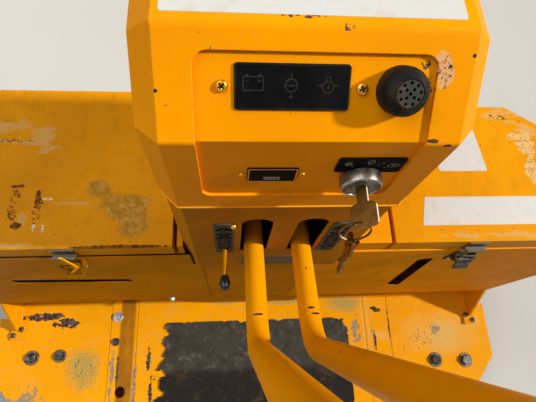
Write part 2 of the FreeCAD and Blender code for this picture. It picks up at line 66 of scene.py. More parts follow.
# The eye, solved from the console's edges in the photograph: metres, degrees, millimetres of lens
EYE = (-0.06159, -0.14842, 1.24713)
EYE_TURN = (20.9051, -4.6215, -2.2737)
EYE_LENS = 28.88

# Which way the sun and the softbox overhead shine
SUN_RAY = (-0.815, 0.04, -0.578)
SKY_RAY = (2.4, -0.4, -4.2)


def linear(text):
    """Linear colour of an sRGB hex value such as #F49A06."""
    parts = [int(text[i:i + 2], 16) / 255 for i in (1, 3, 5)]
    return tuple(p / 12.92 if p <= 0.04045 else ((p + 0.055) / 1.055) ** 2.4 for p in parts)


# Modelling

def clear():
    """Leave edit mode and select nothing, so that an operator acts on the new piece alone."""
    if bpy.context.object and bpy.context.object.mode != "OBJECT":
        bpy.ops.object.mode_set(mode="OBJECT")
    bpy.ops.object.select_all(action="DESELECT")


def activate(piece):
    """Select one piece and make it the active one."""
    clear()
    piece.select_set(True)
    bpy.context.view_layer.objects.active = piece


def block(size, centre=(0, 0, 0)):
    """A box of the given size in mm about its centre, ready to be shaped."""
    clear()
    bpy.ops.mesh.primitive_cube_add(size=MM, location=Vector(centre) * MM)
    bpy.ops.transform.resize(value=size)
    bpy.ops.object.transform_apply(location=True, rotation=True, scale=True)
    return bpy.context.object


def turned(profile, sides=48):
    """A turned solid about Z: a disc extruded from one (radius, height) in mm to the next."""
    clear()
    radius, level = profile[0]
    bpy.ops.mesh.primitive_circle_add(vertices=sides, radius=radius * MM, fill_type="NGON",
                                      location=(0, 0, level * MM))
    piece = bpy.context.object
    bpy.ops.object.transform_apply(location=True, rotation=True, scale=True)
    bpy.ops.object.mode_set(mode="EDIT")
    bpy.ops.mesh.select_all(action="SELECT")
    for step_radius, step_level in profile[1:]:
        grow = step_radius / radius
        move = {"value": (0, 0, (step_level - level) * MM)}
        bpy.ops.mesh.extrude_region_move(TRANSFORM_OT_translate=move)
        bpy.ops.transform.resize(value=(grow, grow, 1), center_override=(0, 0, step_level * MM))
        radius, level = step_radius, step_level
    bpy.ops.mesh.select_all(action="SELECT")
    bpy.ops.mesh.normals_make_consistent(inside=False)
    bpy.ops.object.mode_set(mode="OBJECT")
    return piece


def pick(piece, kind, test):
    """Go to edit mode and select the faces, edges or points that pass the test."""
    activate(piece)
    bpy.ops.object.mode_set(mode="EDIT")
    bpy.ops.mesh.select_mode(type={"faces": "FACE", "edges": "EDGE", "verts": "VERT"}[kind])
    bpy.ops.mesh.select_all(action="DESELECT")
    shape = bmesh.from_edit_mesh(piece.data)
    for item in getattr(shape, kind):
        if test(item):
            item.select_set(True)
    shape.select_flush_mode()
    bmesh.update_edit_mesh(piece.data)


def facing(x, y, z):
    """Test for faces that look along a direction."""
    return lambda face: face.normal.dot(Vector((x, y, z))) > 0.95


def upright(edge):
    """Test for edges that run along Z."""
    run = edge.verts[1].co - edge.verts[0].co
    return abs(run.z) > 0.95 * run.length


def above(level):
    """Test for edges that lie above a height in mm."""
    return lambda edge: min(vert.co.z for vert in edge.verts) > level * MM


def round_edges(piece, test, width, segments=3):
    """Bevel the edges that pass the test by a width in mm."""
    pick(piece, "edges", test)
    bpy.ops.mesh.bevel(offset=width * MM, offset_type="OFFSET", segments=segments, affect="EDGES")
    bpy.ops.object.mode_set(mode="OBJECT")


def sink(piece, test, rim, depth):
    """Inset the faces that pass the test by a rim and move them along Z by a depth, in mm."""
    pick(piece, "faces", test)
    bpy.ops.mesh.inset(thickness=rim * MM, depth=0)
    bpy.ops.mesh.extrude_region_move(TRANSFORM_OT_translate={"value": (0, 0, depth * MM)})
    bpy.ops.object.mode_set(mode="OBJECT")


def worked(piece, kind, **settings):
    """Add a modifier and apply it."""
    activate(piece)
    change = piece.modifiers.new(kind.title(), kind)
    for name, value in settings.items():
        setattr(change, name, value)
    bpy.ops.object.modifier_apply(modifier=change.name)
    return piece


def cut(piece, *tools):
    """Cut tool solids out of a piece and delete them."""
    for tool in tools:
        worked(piece, "BOOLEAN", operation="DIFFERENCE", object=tool, solver="EXACT")
        activate(tool)
        bpy.ops.object.delete()
    return piece


def joined(pieces):
    """Join pieces into the first of them."""
    activate(pieces[0])
    for piece in pieces:
        piece.select_set(True)
    bpy.ops.object.join()
    return pieces[0]


def shifted(piece, x=0, y=0, z=0, turn=0):
    """Turn a piece about Z by degrees and move it by mm, in its own mesh."""
    spin = Matrix.Rotation(math.radians(turn), 4, "Z")
    activate(piece)
    piece.matrix_world = Matrix.Translation(Vector((x, y, z)) * MM) @ spin
    bpy.ops.object.transform_apply(location=True, rotation=True, scale=True)
    return piece


def copies(piece, count):
    """A piece and its copies, each with its own mesh, count in all."""
    made = [piece]
    while len(made) < count:
        activate(piece)
        bpy.ops.object.duplicate(linked=False)
        made.append(bpy.context.object)
    return made


def axes(origin, right, up):
    """Matrix with its origin in mm, X along right and Z along up."""
    z = Vector(up).normalized()
    x = (Vector(right) - z * Vector(right).dot(z)).normalized()
    y = z.cross(x)
    return Matrix.Translation(Vector(origin) * MM) @ Matrix((x, y, z)).transposed().to_4x4()


def on_tilt(x, s, up=-PANEL_SUNK):
    """Place on the tilted instrument face, s up the slope from the bend."""
    run, rise = math.cos(FACE_TILT), math.sin(FACE_TILT)
    return axes((x, s * run - up * rise, BEND_Z + s * rise + up * run), (1, 0, 0), (0, -rise, run))


def on_front(x, z, y=PANEL_SUNK):
    """Place on an upright face that looks towards the operator."""
    return axes((x, y, z), (1, 0, 0), (0, -1, 0))


def on_top(x, y, z):
    """Place on a level face."""
    return axes((x, y, z), (1, 0, 0), (0, 0, 1))


def settle(piece, name, place, finish, body="station", angle=35):
    """Put a made piece where it belongs, in its mesh, smooth it and give it its finish, itself or its
    name, and its body."""
    activate(piece)
    piece.matrix_world = place
    bpy.ops.object.transform_apply(location=True, rotation=True, scale=True)
    bpy.ops.object.shade_smooth_by_angle(angle=math.radians(angle))
    piece.name = name
    piece.data.name = name
    piece.data.materials.clear()
    piece.data.materials.append(FINISH.get(finish, finish))
    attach(piece, body)


# Finishes

def feed(node, *values, **named):
    """Give a node's inputs, in order or by name, a value or the socket that they are linked to."""
    inputs = [socket for socket in node.inputs if socket.enabled]
    pairs = list(zip(inputs, values))
    pairs += [(node.inputs[name.replace("_", " ")], value) for name, value in named.items()]
    for socket, value in pairs:
        if isinstance(value, bpy.types.NodeSocket):
            node.id_data.links.new(value, socket)
        elif value is not None:
            socket.default_value = (*value, 1.0) if socket.type == "RGBA" else value


def add(tree, kind, *values, out=None, **named):
    """Add a shader node and return one of its outputs, the first in use if none is named. Its inputs
    take the values in order or by name, and a name in small letters is one of its settings."""
    made = tree.nodes.new("ShaderNode" + kind)
    for name in [name for name in named if name.islower()]:
        setattr(made, name, named.pop(name))
    feed(made, *values, **named)
    return made.outputs[out] if out else next(socket for socket in made.outputs if socket.enabled)


def surface(name, **shader):
    """A new material, its node tree, its shader and its object coordinates."""
    made = bpy.data.materials.new(name)
    made.use_nodes = True
    tree = made.node_tree
    gloss = tree.nodes["Principled BSDF"]
    feed(gloss, **shader)
    return made, tree, gloss, add(tree, "TexCoord", out="Object")


def shade(colour, *factors):
    """A linear colour times a factor for all of it or for each of red, green and blue."""
    return tuple(part * factors[number % len(factors)] for number, part in enumerate(colour))


def cloud(tree, place, grain, detail=3.0, rough=0.5, stretch=None, span=None):
    """Soft lumps that measure grain mm, 0 to 1. A span (low, high) sharpens them into patches that
    are 1 where the lumps pass high; it may also name what they reach instead of 0 and 1."""
    if stretch:
        place = add(tree, "Mapping", place, Scale=stretch)
    lumps = add(tree, "TexNoise", place, 1000 / grain, detail, rough)
    return add(tree, "MapRange", lumps, *span) if span else lumps


def over(tree, tone, layer, mask, share=1.0):
    """A tone with a layer of another over it where the mask is 1, as dense as its share."""
    tone, layer = (linear(given) if isinstance(given, str) else given for given in (tone, layer))
    if share < 1:
        mask = add(tree, "Math", mask, share, operation="MULTIPLY")
    return add(tree, "Mix", mask, tone, layer, data_type="RGBA")


def patches(tree, place, spots, ragged=1.7, grain=30, soft=0.1):
    """Ragged patches about centres and half sizes in mm: 1 inside and 0 outside a soft border. Boots
    and labels wear no face that looks down, so none shows on the underside of a plate."""
    nearest = 9.0
    for centre, reach in spots:
        local = add(tree, "Mapping", place, vector_type="TEXTURE", Location=Vector(centre) * MM,
                    Scale=Vector(reach) * MM)
        far = add(tree, "VectorMath", local, operation="LENGTH")
        nearest = add(tree, "Math", far, nearest, operation="MINIMUM")
    wander = add(tree, "Math", cloud(tree, place, grain, 5, 0.65), 0.5, operation="SUBTRACT")
    far = add(tree, "Math", wander, ragged, nearest, operation="MULTIPLY_ADD")
    up = add(tree, "SeparateXYZ", add(tree, "TexCoord", out="Normal"), out="Z")
    return add(tree, "Math", add(tree, "MapRange", far, 1.0, 1.0 - soft),
               add(tree, "MapRange", up, -0.6, -0.4), operation="MULTIPLY")


def broken(tree, place, mask, grain, cover, stretch=None):
    """A mask eaten away into islands: the cover is 0.2 for half of it and 0.35 for nearly all."""
    lumps = cloud(tree, place, grain, 5, 0.65, stretch)
    raised = add(tree, "Math", mask, cover, lumps, operation="MULTIPLY_ADD")
    return add(tree, "MapRange", raised, 0.70, 0.75)


def between(tree, place, axis, low, high, soft=3.0):
    """1 between two distances in mm along an axis, and 0 beyond them."""
    run = add(tree, "SeparateXYZ", place, out=axis)
    rise = add(tree, "MapRange", run, (low - soft) * MM, (low + soft) * MM)
    fall = add(tree, "MapRange", run, (high + soft) * MM, (high - soft) * MM)
    return add(tree, "Math", rise, fall, operation="MULTIPLY")


def rough_steel(tree, place, pale="#64503E", dark="#2A1B0E"):
    """Colour of steel under lost paint: brown primer with dull grey showing in it."""
    return over(tree, dark, pale, cloud(tree, place, 7, 4, span=(0.42, 0.60)))


def enamel(name, colour, faded=(), glue=(), bare=(), peeled=(), steel=(), chipped=0.5, dust=0.25, edges=0.6,
           sheen=0.36, undercoat="#D9B373", rust=("#64503E", "#2A1B0E"), hollow=None):
    """Enamel sprayed on steel sheet: a satin skin with orange peel, chalked patches where boots and
    labels have rubbed it, fine chips down to brown primer and a painted highlight on rounded folds."""
    made, tree, gloss, place = surface(name, Specular_IOR_Level=0.05)
    # broad fading, 140 mm, and 22 mm stains
    fade = cloud(tree, place, 140, span=(0.35, 0.70, 0, 0.65))
    tone = over(tree, colour, shade(colour, 0.80, 0.74, 0.5), fade)
    stain = cloud(tree, place, 22, 5, 0.65, span=(0.50, 0.78, 0, dust))
    tone = over(tree, tone, shade(colour, 0.58, 0.62, 1), stain)
    rough = cloud(tree, place, 30, span=(0.2, 0.8, sheen, sheen + 0.18))
    if faded:
        # chalky paint and dust, streaked along X
        chalk = broken(tree, place, patches(tree, place, faded, 1.5, 34, 0.7), 10, 0.31, (0.45, 1, 1))
        tone = over(tree, tone, "#CFA25C", chalk, 0.8)
        rough = add(tree, "Math", chalk, 0.25, rough, operation="MULTIPLY_ADD")
    if glue:
        # remains of label glue: olive, with a dry web
        web = over(tree, "#9A731A", "#BE944A", cloud(tree, place, 11, 5, 0.7, span=(0.46, 0.60)))
        tone = over(tree, tone, web, patches(tree, place, glue, 1.5, 26, 0.3), 0.75)
    if peeled:
        # paint lifted to a pale undercoat, which has cracked
        ridge = add(tree, "Math", cloud(tree, place, 13, 3, 0.6), 0.5, operation="SUBTRACT")
        ridge = add(tree, "Math", ridge, operation="ABSOLUTE")
        cracked = over(tree, undercoat, "#6B3F1C", add(tree, "MapRange", ridge, 0.022, 0.006, 0, 0.75))
        lifted = broken(tree, place, patches(tree, place, peeled, 1.6, 22, 0.3), 12, 0.36)
        tone = over(tree, tone, cracked, lifted, 0.9)
    # chips of 3 to 5 mm come in clusters about 90 mm across
    cluster = cloud(tree, place, 90, 2, span=(0.50, 0.72, 0.0, 0.07 * chipped))
    fleck = add(tree, "Math", cloud(tree, place, 4.2, 3, 0.55, (0.7, 1, 1)), cluster, operation="ADD")
    chip = add(tree, "MapRange", fleck, 0.735 - 0.02 * chipped, 0.75 - 0.02 * chipped)
    smooth = None
    if edges:
        # folds look rounded by 1.4 mm, carry a painted highlight and are here and there rubbed bare
        smooth = add(tree, "Bevel", 1.4 * MM, samples=4)
        flat = add(tree, "NewGeometry", out="Normal")
        fold = add(tree, "VectorMath", smooth, flat, operation="DOT_PRODUCT")
        fold = add(tree, "MapRange", fold, 0.99, 0.86)
        tone = over(tree, tone, "#FFC445", fold, 0.45)
        rub = cloud(tree, place, 14, 5, 0.65, span=(0.58, 0.62))
        rub = add(tree, "Math", fold, rub, operation="MULTIPLY")
        rub = add(tree, "Math", rub, edges, operation="MULTIPLY")
        chip = add(tree, "Math", chip, rub, operation="MAXIMUM")
    if bare:
        scraped = broken(tree, place, patches(tree, place, bare, 1.5, 12, 0.4), 4.5, 0.20)
        chip = add(tree, "Math", chip, scraped, operation="MAXIMUM")
    if steel:
        chip = add(tree, "Math", chip, patches(tree, place, steel, 1.2, 7, 0.15), operation="MAXIMUM")
    tone = over(tree, tone, rough_steel(tree, place, *rust), chip)
    if hollow:
        # near-black painted shade inside the box, where its primer is bare: behind a depth along Y and below
        # a height
        behind = between(tree, place, "Y", hollow[0], 900, 0.2)
        inside = add(tree, "Math", behind, between(tree, place, "Z", -90, hollow[1]), operation="MULTIPLY")
        tone = over(tree, tone, "#1A1008", inside)
    peel = add(tree, "Math", cloud(tree, place, 2.5, 2), 0.10, operation="MULTIPLY")
    height = add(tree, "Math", peel, chip, operation="SUBTRACT")
    bump = add(tree, "Bump", Strength=0.35, Distance=0.25 * MM, Height=height, Normal=smooth)
    feed(gloss, Base_Color=tone, Roughness=rough, Normal=bump)
    return made


def walked_enamel(name, colour, grey=(), pale=(), bare=(), flecked=(), grime=None, swept=()):
    """Enamel on a deck plate that boots have worn: dusty, scratched along Y, with brown freckles,
    a grey-green film where it is never swept and dark steel where the paint has gone."""
    made, tree, gloss, place = surface(name, Specular_IOR_Level=0.05)
    fade = cloud(tree, place, 120, 4, 0.6, span=(0.35, 0.70, 0, 0.5))
    tone = over(tree, colour, shade(colour, 0.86, 0.78, 1), fade)
    dusty = cloud(tree, place, 38, 6, 0.7, span=(0.50, 0.72, 0, 0.35))
    tone = over(tree, tone, "#C79B4F", dusty)
    if grime:
        # a brown band along the seam, between two distances along X: painted shadow of the raised centre
        # plate, streaked with trodden dirt
        trodden = cloud(tree, place, 40, 5, 0.7, (1, 0.3, 1), span=(0.25, 0.50, 0.45, 0.9))
        painted_shadow_band = between(tree, place, "X", *grime)
        tone = over(tree, tone, "#8A560C", add(tree, "Math", painted_shadow_band, trodden, operation="MULTIPLY"))
    # dust and olive dirt that the broom leaves, without a hard border
    for spots, tint, least, soft in ((swept, "#D0AA62", 0.3, 0.9), (pale, "#A4904C", 0.5, 0.6)):
        if spots:
            film = cloud(tree, place, 14, 5, 0.7, span=(0.28, 0.55, least, 0.95))
            film = add(tree, "Math", patches(tree, place, spots, 1.3, 50, soft), film, operation="MULTIPLY")
            tone = over(tree, tone, tint, film)
    missing = 0.0
    if grey:
        missing = broken(tree, place, patches(tree, place, grey, 1.5, 26, 0.5), 12, 0.27)
        tone = over(tree, tone, "#8E8069", missing)
    cluster = cloud(tree, place, 150, 2, span=(0.4, 0.7, 0, 0.06))
    freckle = add(tree, "Math", cloud(tree, place, 5.0, 4, 0.6), cluster, operation="ADD")
    scraped = add(tree, "MapRange", freckle, 0.71, 0.735)
    if flecked:
        flecks = broken(tree, place, patches(tree, place, flecked, 1.2, 30, 0.7), 5.5, 0.13)
        scraped = add(tree, "Math", scraped, flecks, operation="MAXIMUM")
    if bare:
        gone = broken(tree, place, patches(tree, place, bare, 1.4, 14, 0.5), 9, 0.34, (0.6, 1, 1))
        scraped = add(tree, "Math", scraped, gone, operation="MAXIMUM")
    tone = over(tree, tone, rough_steel(tree, place, "#5B5450", "#3B281A"), scraped)
    tone = over(tree, tone, "#7A5416", cloud(tree, place, 3, 2, 0.5, (1, 0.06, 1), span=(0.66, 0.73)), 0.4)
    skin = add(tree, "Math", cloud(tree, place, 4, 3), 0.2, operation="MULTIPLY")
    lost = add(tree, "Math", scraped, missing, operation="MAXIMUM")
    height = add(tree, "Math", skin, lost, operation="SUBTRACT")
    smooth = add(tree, "Bevel", 1.4 * MM, samples=4)
    bump = add(tree, "Bump", Strength=0.5, Distance=0.4 * MM, Height=height, Normal=smooth)
    feed(gloss, Base_Color=tone, Roughness=add(tree, "MapRange", dusty, 0, 0.35, 0.46, 0.72), Normal=bump)
    return made


def zinc_keeper(made):
    """The same enamel with bare zinc plate on the latch keeper, which sticks out in front of the lid."""
    tree = made.node_tree
    gloss = tree.nodes["Principled BSDF"]
    keeper = between(tree, add(tree, "TexCoord", out="Object"), "Y", -20, 10.2, 0.1)
    paint = gloss.inputs["Base Color"].links[0].from_socket
    feed(gloss, Base_Color=over(tree, paint, "#5F584C", keeper), Metallic=keeper)
    return made


def zinc_plate(name, colour, rough=0.28, stretch=(1, 1, 0.1), worn=None):
    """Zinc plated steel: a cool bright metal with drawn lines and dull greasy stains. A worn tone
    is a painted highlight on the faces that look up and towards +X, where the sun falls."""
    made, tree, gloss, place = surface(name, Metallic=1.0)
    stain = cloud(tree, place, 9, 4, 0.6, span=(0.45, 0.70))
    tone = over(tree, colour, shade(colour, 0.42), stain)
    if worn:
        # painted highlight: the worn tone on faces that look up and towards +X, where the sun falls
        flat = add(tree, "NewGeometry", out="Normal")
        rub = add(tree, "VectorMath", flat, (0.7, 0, 0.7), operation="DOT_PRODUCT")
        rub = add(tree, "MapRange", rub, 0.80, 0.95)
        tone = over(tree, tone, worn, rub)
        feed(gloss, Metallic=add(tree, "MapRange", rub, 0, 1, 1, 0.2))
    smooth = add(tree, "Bevel", 0.5 * MM, samples=4)
    lines = cloud(tree, place, 1.2, 2, 0.5, stretch)
    bump = add(tree, "Bump", Strength=0.15, Distance=0.1 * MM, Height=lines, Normal=smooth)
    rough = add(tree, "MapRange", stain, 0, 1, rough, rough + 0.22)
    feed(gloss, Base_Color=tone, Roughness=rough, Normal=bump)
    return made


def oiled_steel(name, colour):
    """Turned bearing steel under old oil: dark, half bright, with brown dirt in patches."""
    made, tree, gloss, place = surface(name, Metallic=0.85)
    dirt = cloud(tree, place, 14, 5, 0.65, span=(0.42, 0.62))
    bump = add(tree, "Bump", Strength=0.3, Distance=0.2 * MM, Height=dirt)
    rough = add(tree, "MapRange", dirt, 0, 1, 0.30, 0.65)
    feed(gloss, Base_Color=over(tree, colour, "#241C16", dirt), Roughness=rough, Normal=bump)
    return made


def moulded(name, colour, rough=0.42, grain=1.1, dusty=0.25, gleam=0.2, soft=None):
    """Injection moulded plastic: an even skin with a spark-eroded grain and dust on it. A soft width
    in mm rounds its edges for the eye."""
    made, tree, gloss, place = surface(name, Specular_IOR_Level=gleam)
    dust = cloud(tree, place, 13, 5, 0.65, span=(0.48, 0.75, 0, dusty))
    smooth = add(tree, "Bevel", soft * MM, samples=4) if soft else None
    skin = cloud(tree, place, grain, 2)
    bump = add(tree, "Bump", Strength=0.2, Distance=0.1 * MM, Height=skin, Normal=smooth)
    rough = add(tree, "MapRange", dust, 0, 0.3, rough, rough + 0.2)
    feed(gloss, Base_Color=over(tree, colour, "#7D6C55", dust), Roughness=rough, Normal=bump)
    return made


def grit_rubber(name, colour):
    """Grit-faced rubber mat: dusty grey where it is only brushed, black and muddy where the boots
    stand, with sand grains. The grit is drawn 2.5 mm wide, coarser than it is, so that it shows."""
    made, tree, gloss, place = surface(name, Roughness=0.85, Specular_IOR_Level=0.2)
    brushed = cloud(tree, place, 60, 5, 0.65, span=(0.25, 0.55, 0.35, 1.0))
    brushed = add(tree, "Math", between(tree, place, "Y", -158, 0, 8), brushed, operation="MULTIPLY")
    tone = over(tree, colour, "#3D3931", brushed)
    mud = cloud(tree, place, 38, 6, 0.75, span=(0.54, 0.66, 0, 0.75))
    mud = add(tree, "Math", mud, between(tree, place, "Y", -400, -150, 20), operation="MULTIPLY")
    tone = over(tree, tone, "#4A3A26", mud)
    tone = over(tree, tone, "#14110F", cloud(tree, place, 26, 6, 0.75, span=(0.56, 0.66, 0, 0.5)))
    blots = cloud(tree, place, 19, 4, 0.6, span=(0.54, 0.68, 0, 0.6))
    tone = over(tree, tone, "#66635A", add(tree, "Math", blots, brushed, operation="MULTIPLY"))
    tone = over(tree, tone, "#6E6657", cloud(tree, place, 3.4, 4, 0.7, span=(0.60, 0.72, 0, 0.5)))
    grit = add(tree, "TexVoronoi", place, feature="F1", Scale=1000 / 2.5, out="Distance")
    feed(gloss, Base_Color=tone, Normal=add(tree, "Bump", Strength=0.8, Distance=0.8 * MM, Height=grit))
    return made


def vinyl(name, colour):
    """Printed vinyl label with nothing on it: a thin semi-matt film with a little grime."""
    made, tree, gloss, place = surface(name, Roughness=0.45)
    grime = cloud(tree, place, 16, 6, 0.7, span=(0.54, 0.72, 0, 0.35))
    bump = add(tree, "Bump", Strength=0.2, Distance=0.1 * MM, Height=cloud(tree, place, 6, 3))
    feed(gloss, Base_Color=over(tree, colour, "#B79A6B", grime), Normal=bump)
    return made


def seen_directly(tree):
    """1 for what the eye sees, also in metal or through glass, and 0 for the light thrown on things."""
    seen = 0.0
    for ray in ("Is Camera Ray", "Is Glossy Ray", "Is Transmission Ray"):
        seen = add(tree, "Math", add(tree, "LightPath", out=ray), seen, operation="MAXIMUM")
    return seen


def floor_paint(name, colour):
    """Plain pale floor paint, faintly mottled; it throws less light back than the eye sees in it."""
    made, tree, gloss, place = surface(name, Roughness=0.9, Specular_IOR_Level=0.1)
    tone = over(tree, colour, shade(colour, 0.96), cloud(tree, place, 400, 4, span=(0.3, 0.7)))
    feed(gloss, Base_Color=over(tree, shade(colour, 0.4), tone, seen_directly(tree)))
    return made


FINISH = {}


def dress(names, finish):
    """Give CAD nodes a finish, itself or its name, in place of the plain one that they carry."""
    for name in names:
        mesh = NODES[name].data
        mesh.materials.clear()
        mesh.materials.append(FINISH.get(finish, finish))
        for face in mesh.polygons:
            face.material_index = 0


# What a user would change

def length(name, text, default):
    """A length property in metres with its default given in mm."""
    return bpy.props.FloatProperty(name=name, description=text, default=default * MM, min=0.0001,
                                   unit="LENGTH", subtype="DISTANCE", precision=4)


def colour(name, text, default):
    """A colour property with its default given as sRGB hex."""
    return bpy.props.FloatVectorProperty(name=name, description=text, default=linear(default), min=0, max=1,
                                         size=3, subtype="COLOR")


class StationSizes(bpy.types.PropertyGroup):
    """Sizes of the made fittings"""
    screw: length("Panel screw", "Radius of the instrument panel's screw heads", 4.4)
    hole: length("Sound hole", "Radius of the holes in the buzzer's face", 1.2)
    bezel: length("Bezel", "Width of the rim round the warning lights' window", 1.6)
    rib: length("Grip rib", "Depth of the ribs on the lever grips", 0.9)
    washer: length("Deck washer", "Radius of the washers under the deck bolts", 18.5)
    tear: length("Mat tear", "How far the edges of the grip mat are torn in", 11.0)
    label: length("Label film", "Thickness of the labels", 0.25)
    bead: length("Weld bead", "Radius of the weld beads", 2.6)


class StationColours(bpy.types.PropertyGroup):
    """Base colours of the finishes"""
    enamel: colour("Enamel", "Sprayed enamel on the hood", "#F69C00")
    lever: colour("Lever enamel", "Enamel on the steering levers", "#F09A00")
    lid: colour("Lid enamel", "Dusty enamel on the lids and fittings", "#E09400")
    # The column and box enamels are darker than the hood's: painted shade on faces that look towards the
    # operator, besides their grime.
    shaded: colour("Column enamel", "Grimy enamel on the column", "#BA7600")
    front: colour("Box enamel", "Grimy enamel on the box fronts", "#D08600")
    deck: colour("Deck enamel", "Worn enamel on the foot deck", "#E89B00")
    rubber: colour("Rubber", "Grip mat and lever grips", "#1D1916")
    plastic: colour("Plastic", "Buzzer, bezels and knob", "#191816")
    lens: colour("Lens", "Smoked window of the warning lights", "#06070A")
    print_ink: colour("Print", "Symbols behind the window", "#272624")
    zinc: colour("Zinc", "Plated latches, keys and bolts", "#B9BBBF")
    brass: colour("Yellow zinc", "Yellow passivated screws", "#E0A63A")
    label: colour("Label", "Blank labels", "#CAC9C5")
    floor: colour("Floor", "Studio floor", "#C6C4BF")


def sizes():
    """The sizes that the sidebar shows."""
    return bpy.context.scene.station_sizes


def colours():
    """The colours that the sidebar shows."""
    return bpy.context.scene.station_colours


# Operators

class Maker(bpy.types.Operator):
    """Base of the station's operators, which lets each of them be undone."""
    bl_options = {"REGISTER", "UNDO"}


class STATION_OT_mix_finishes(Maker):
    """Mix the finishes that the other operators use"""
    bl_idname = "station.mix_finishes"
    bl_label = "Mix finishes"

    def execute(self, context):
        tint = colours()
        black = tuple(tint.plastic)
        FINISH.update(
            plastic=moulded("black_abs_moulded_satin", black, 0.5, gleam=0.08),
            bezel=moulded("black_abs_moulded_gloss", shade(black, 0.4), 0.24, 2.0, 0.10, 0.3),
            disc=moulded("grey_abs_moulded_dusty", linear("#3A3C37"), 0.6, 1.1, 0.6, 0.1),
            lens=moulded("smoked_acrylic_rubbed", tuple(tint.lens), 0.24, 6.0, 0.02, 0.15),
            ink=moulded("screen_printed_ink_grey", tuple(tint.print_ink), 0.5, 3.0, 0.1),
            pale_ink=moulded("screen_printed_ink_pale", linear("#8A8880"), 0.5, 3.0, 0.2),
            matt=moulded("black_plate_sprayed_matt", shade(black, 0.3), 0.8, 2.0, 0.08, 0.05),
            strip=moulded("grey_film_rubbed", linear("#75634A"), 0.7, 3.0, 0.5, 0.05),
            plate=moulded("grey_nylon_moulded", linear("#4C4739"), 0.6, 1.6, 0.4, 0.1),
            phenolic=moulded("black_phenolic_polished", linear("#17181C"), 0.26, 5.0, 0.06, 0.4, 3.0),
            rubber=moulded("black_rubber_moulded", tuple(tint.rubber), 0.7, 1.4, 0.3),
            mat=grit_rubber("grit_faced_rubber_mat", tuple(tint.rubber)),
            zinc=zinc_plate("zinc_plated_steel_drawn", tuple(tint.zinc)),
            chrome=zinc_plate("chromed_die_casting", linear("#94908A"), 0.24, (1, 0.2, 1)),
            # the key's pale worn tone is a painted highlight on faces turned towards the sun
            key=zinc_plate("tarnished_brass_key", linear("#7C5C2A"), 0.30, (1, 1, 0.1), "#E8DFC8"),
            brass=zinc_plate("yellow_passivated_zinc", tuple(tint.brass), 0.30),
            dull=zinc_plate("die_cast_zinc_tumbled", linear("#6A6862"), 0.42, (1, 1, 1)),
            keeper=zinc_plate("zinc_plate_dulled", linear("#5F584C"), 0.40),
            dark=oiled_steel("oiled_bearing_steel", linear("#4A4540")),
            rusty=zinc_plate("zinc_plate_rusting", linear("#6E5F4E"), 0.5, (1, 1, 1)),
            label=vinyl("blank_vinyl_label", tuple(tint.label)))
        return {"FINISHED"}


def marks(level, high, *spots):
    """Marks of wear and of painted shadow about one level: x, y and half sizes along X and Y in mm,
    all of them high mm up.
    """
    return [((x, y, level), (wide, deep, high)) for x, y, wide, deep in spots]


class STATION_OT_finish_console(Maker):
    """Paint the hood, column, instrument panel and levers"""
    bl_idname = "station.finish_console"
    bl_label = "Paint the console"

    def execute(self, context):
        tint = tuple(colours().enamel)
        # the column enamel is darker than the hood's as painted shade
        shaded = tuple(colours().shaded)
        dress(["console_hood"], enamel(
            "enamel_sprayed_on_hood", tint,
            peeled=[((92, 39, 1007), (7, 12, 11)), ((88, 46, 1012), (6, 8, 8))],
            bare=[((91, 38, 1006), (8, 13, 12)), ((86, 34, 1002), (3, 14, 12)),
                  ((-10, 67, 1026), (22, 2.5, 4)), ((18, 59, 1026), (10, 4, 4))],
            steel=[((91, 1, 974), (5.6, 3, 1.8)), ((103, 0, 970), (3.6, 3, 1.6))],
            chipped=0.25, dust=0.10, undercoat="#DCA876"))
        dress(["console_column"], enamel("enamel_sprayed_on_column", shaded, chipped=0.5, dust=0.4))
        dress(["instrument_panel"], enamel(
            "enamel_sprayed_on_panel", tint, chipped=0.1, dust=0.08, edges=0.3,
            bare=[((81, 33, 998), (6, 12, 11)), ((78, 44, 1008), (8, 5, 5))]))
        dress(["steering_lever_left", "steering_lever_right"], enamel(
            "enamel_brushed_on_tube", tuple(colours().lever), chipped=0.3, dust=0.15, edges=0, sheen=0.30,
            steel=[((-28.7, -92.4, 719), (7, 1.6, 9)), ((36.6, -86.3, 716), (6, 1.5, 9)),
                   ((41.8, -93.5, 719), (7, 1.3, 9)), ((37, -105.3, 735), (5, 2.0, 9)),
                   ((40, -112.2, 744), (6, 1.8, 9)), ((44, -121, 755), (8, 2.2, 9)),
                   ((37, -33.8, 698), (1.5, 1.6, 2)), ((29, -142, 884), (4, 1.2, 3))]))
        # the hand lever carries the column's darker enamel as painted shade
        dress(["hand_lever"], enamel("enamel_brushed_on_rod", shaded, chipped=0.6, edges=0))
        return {"FINISHED"}


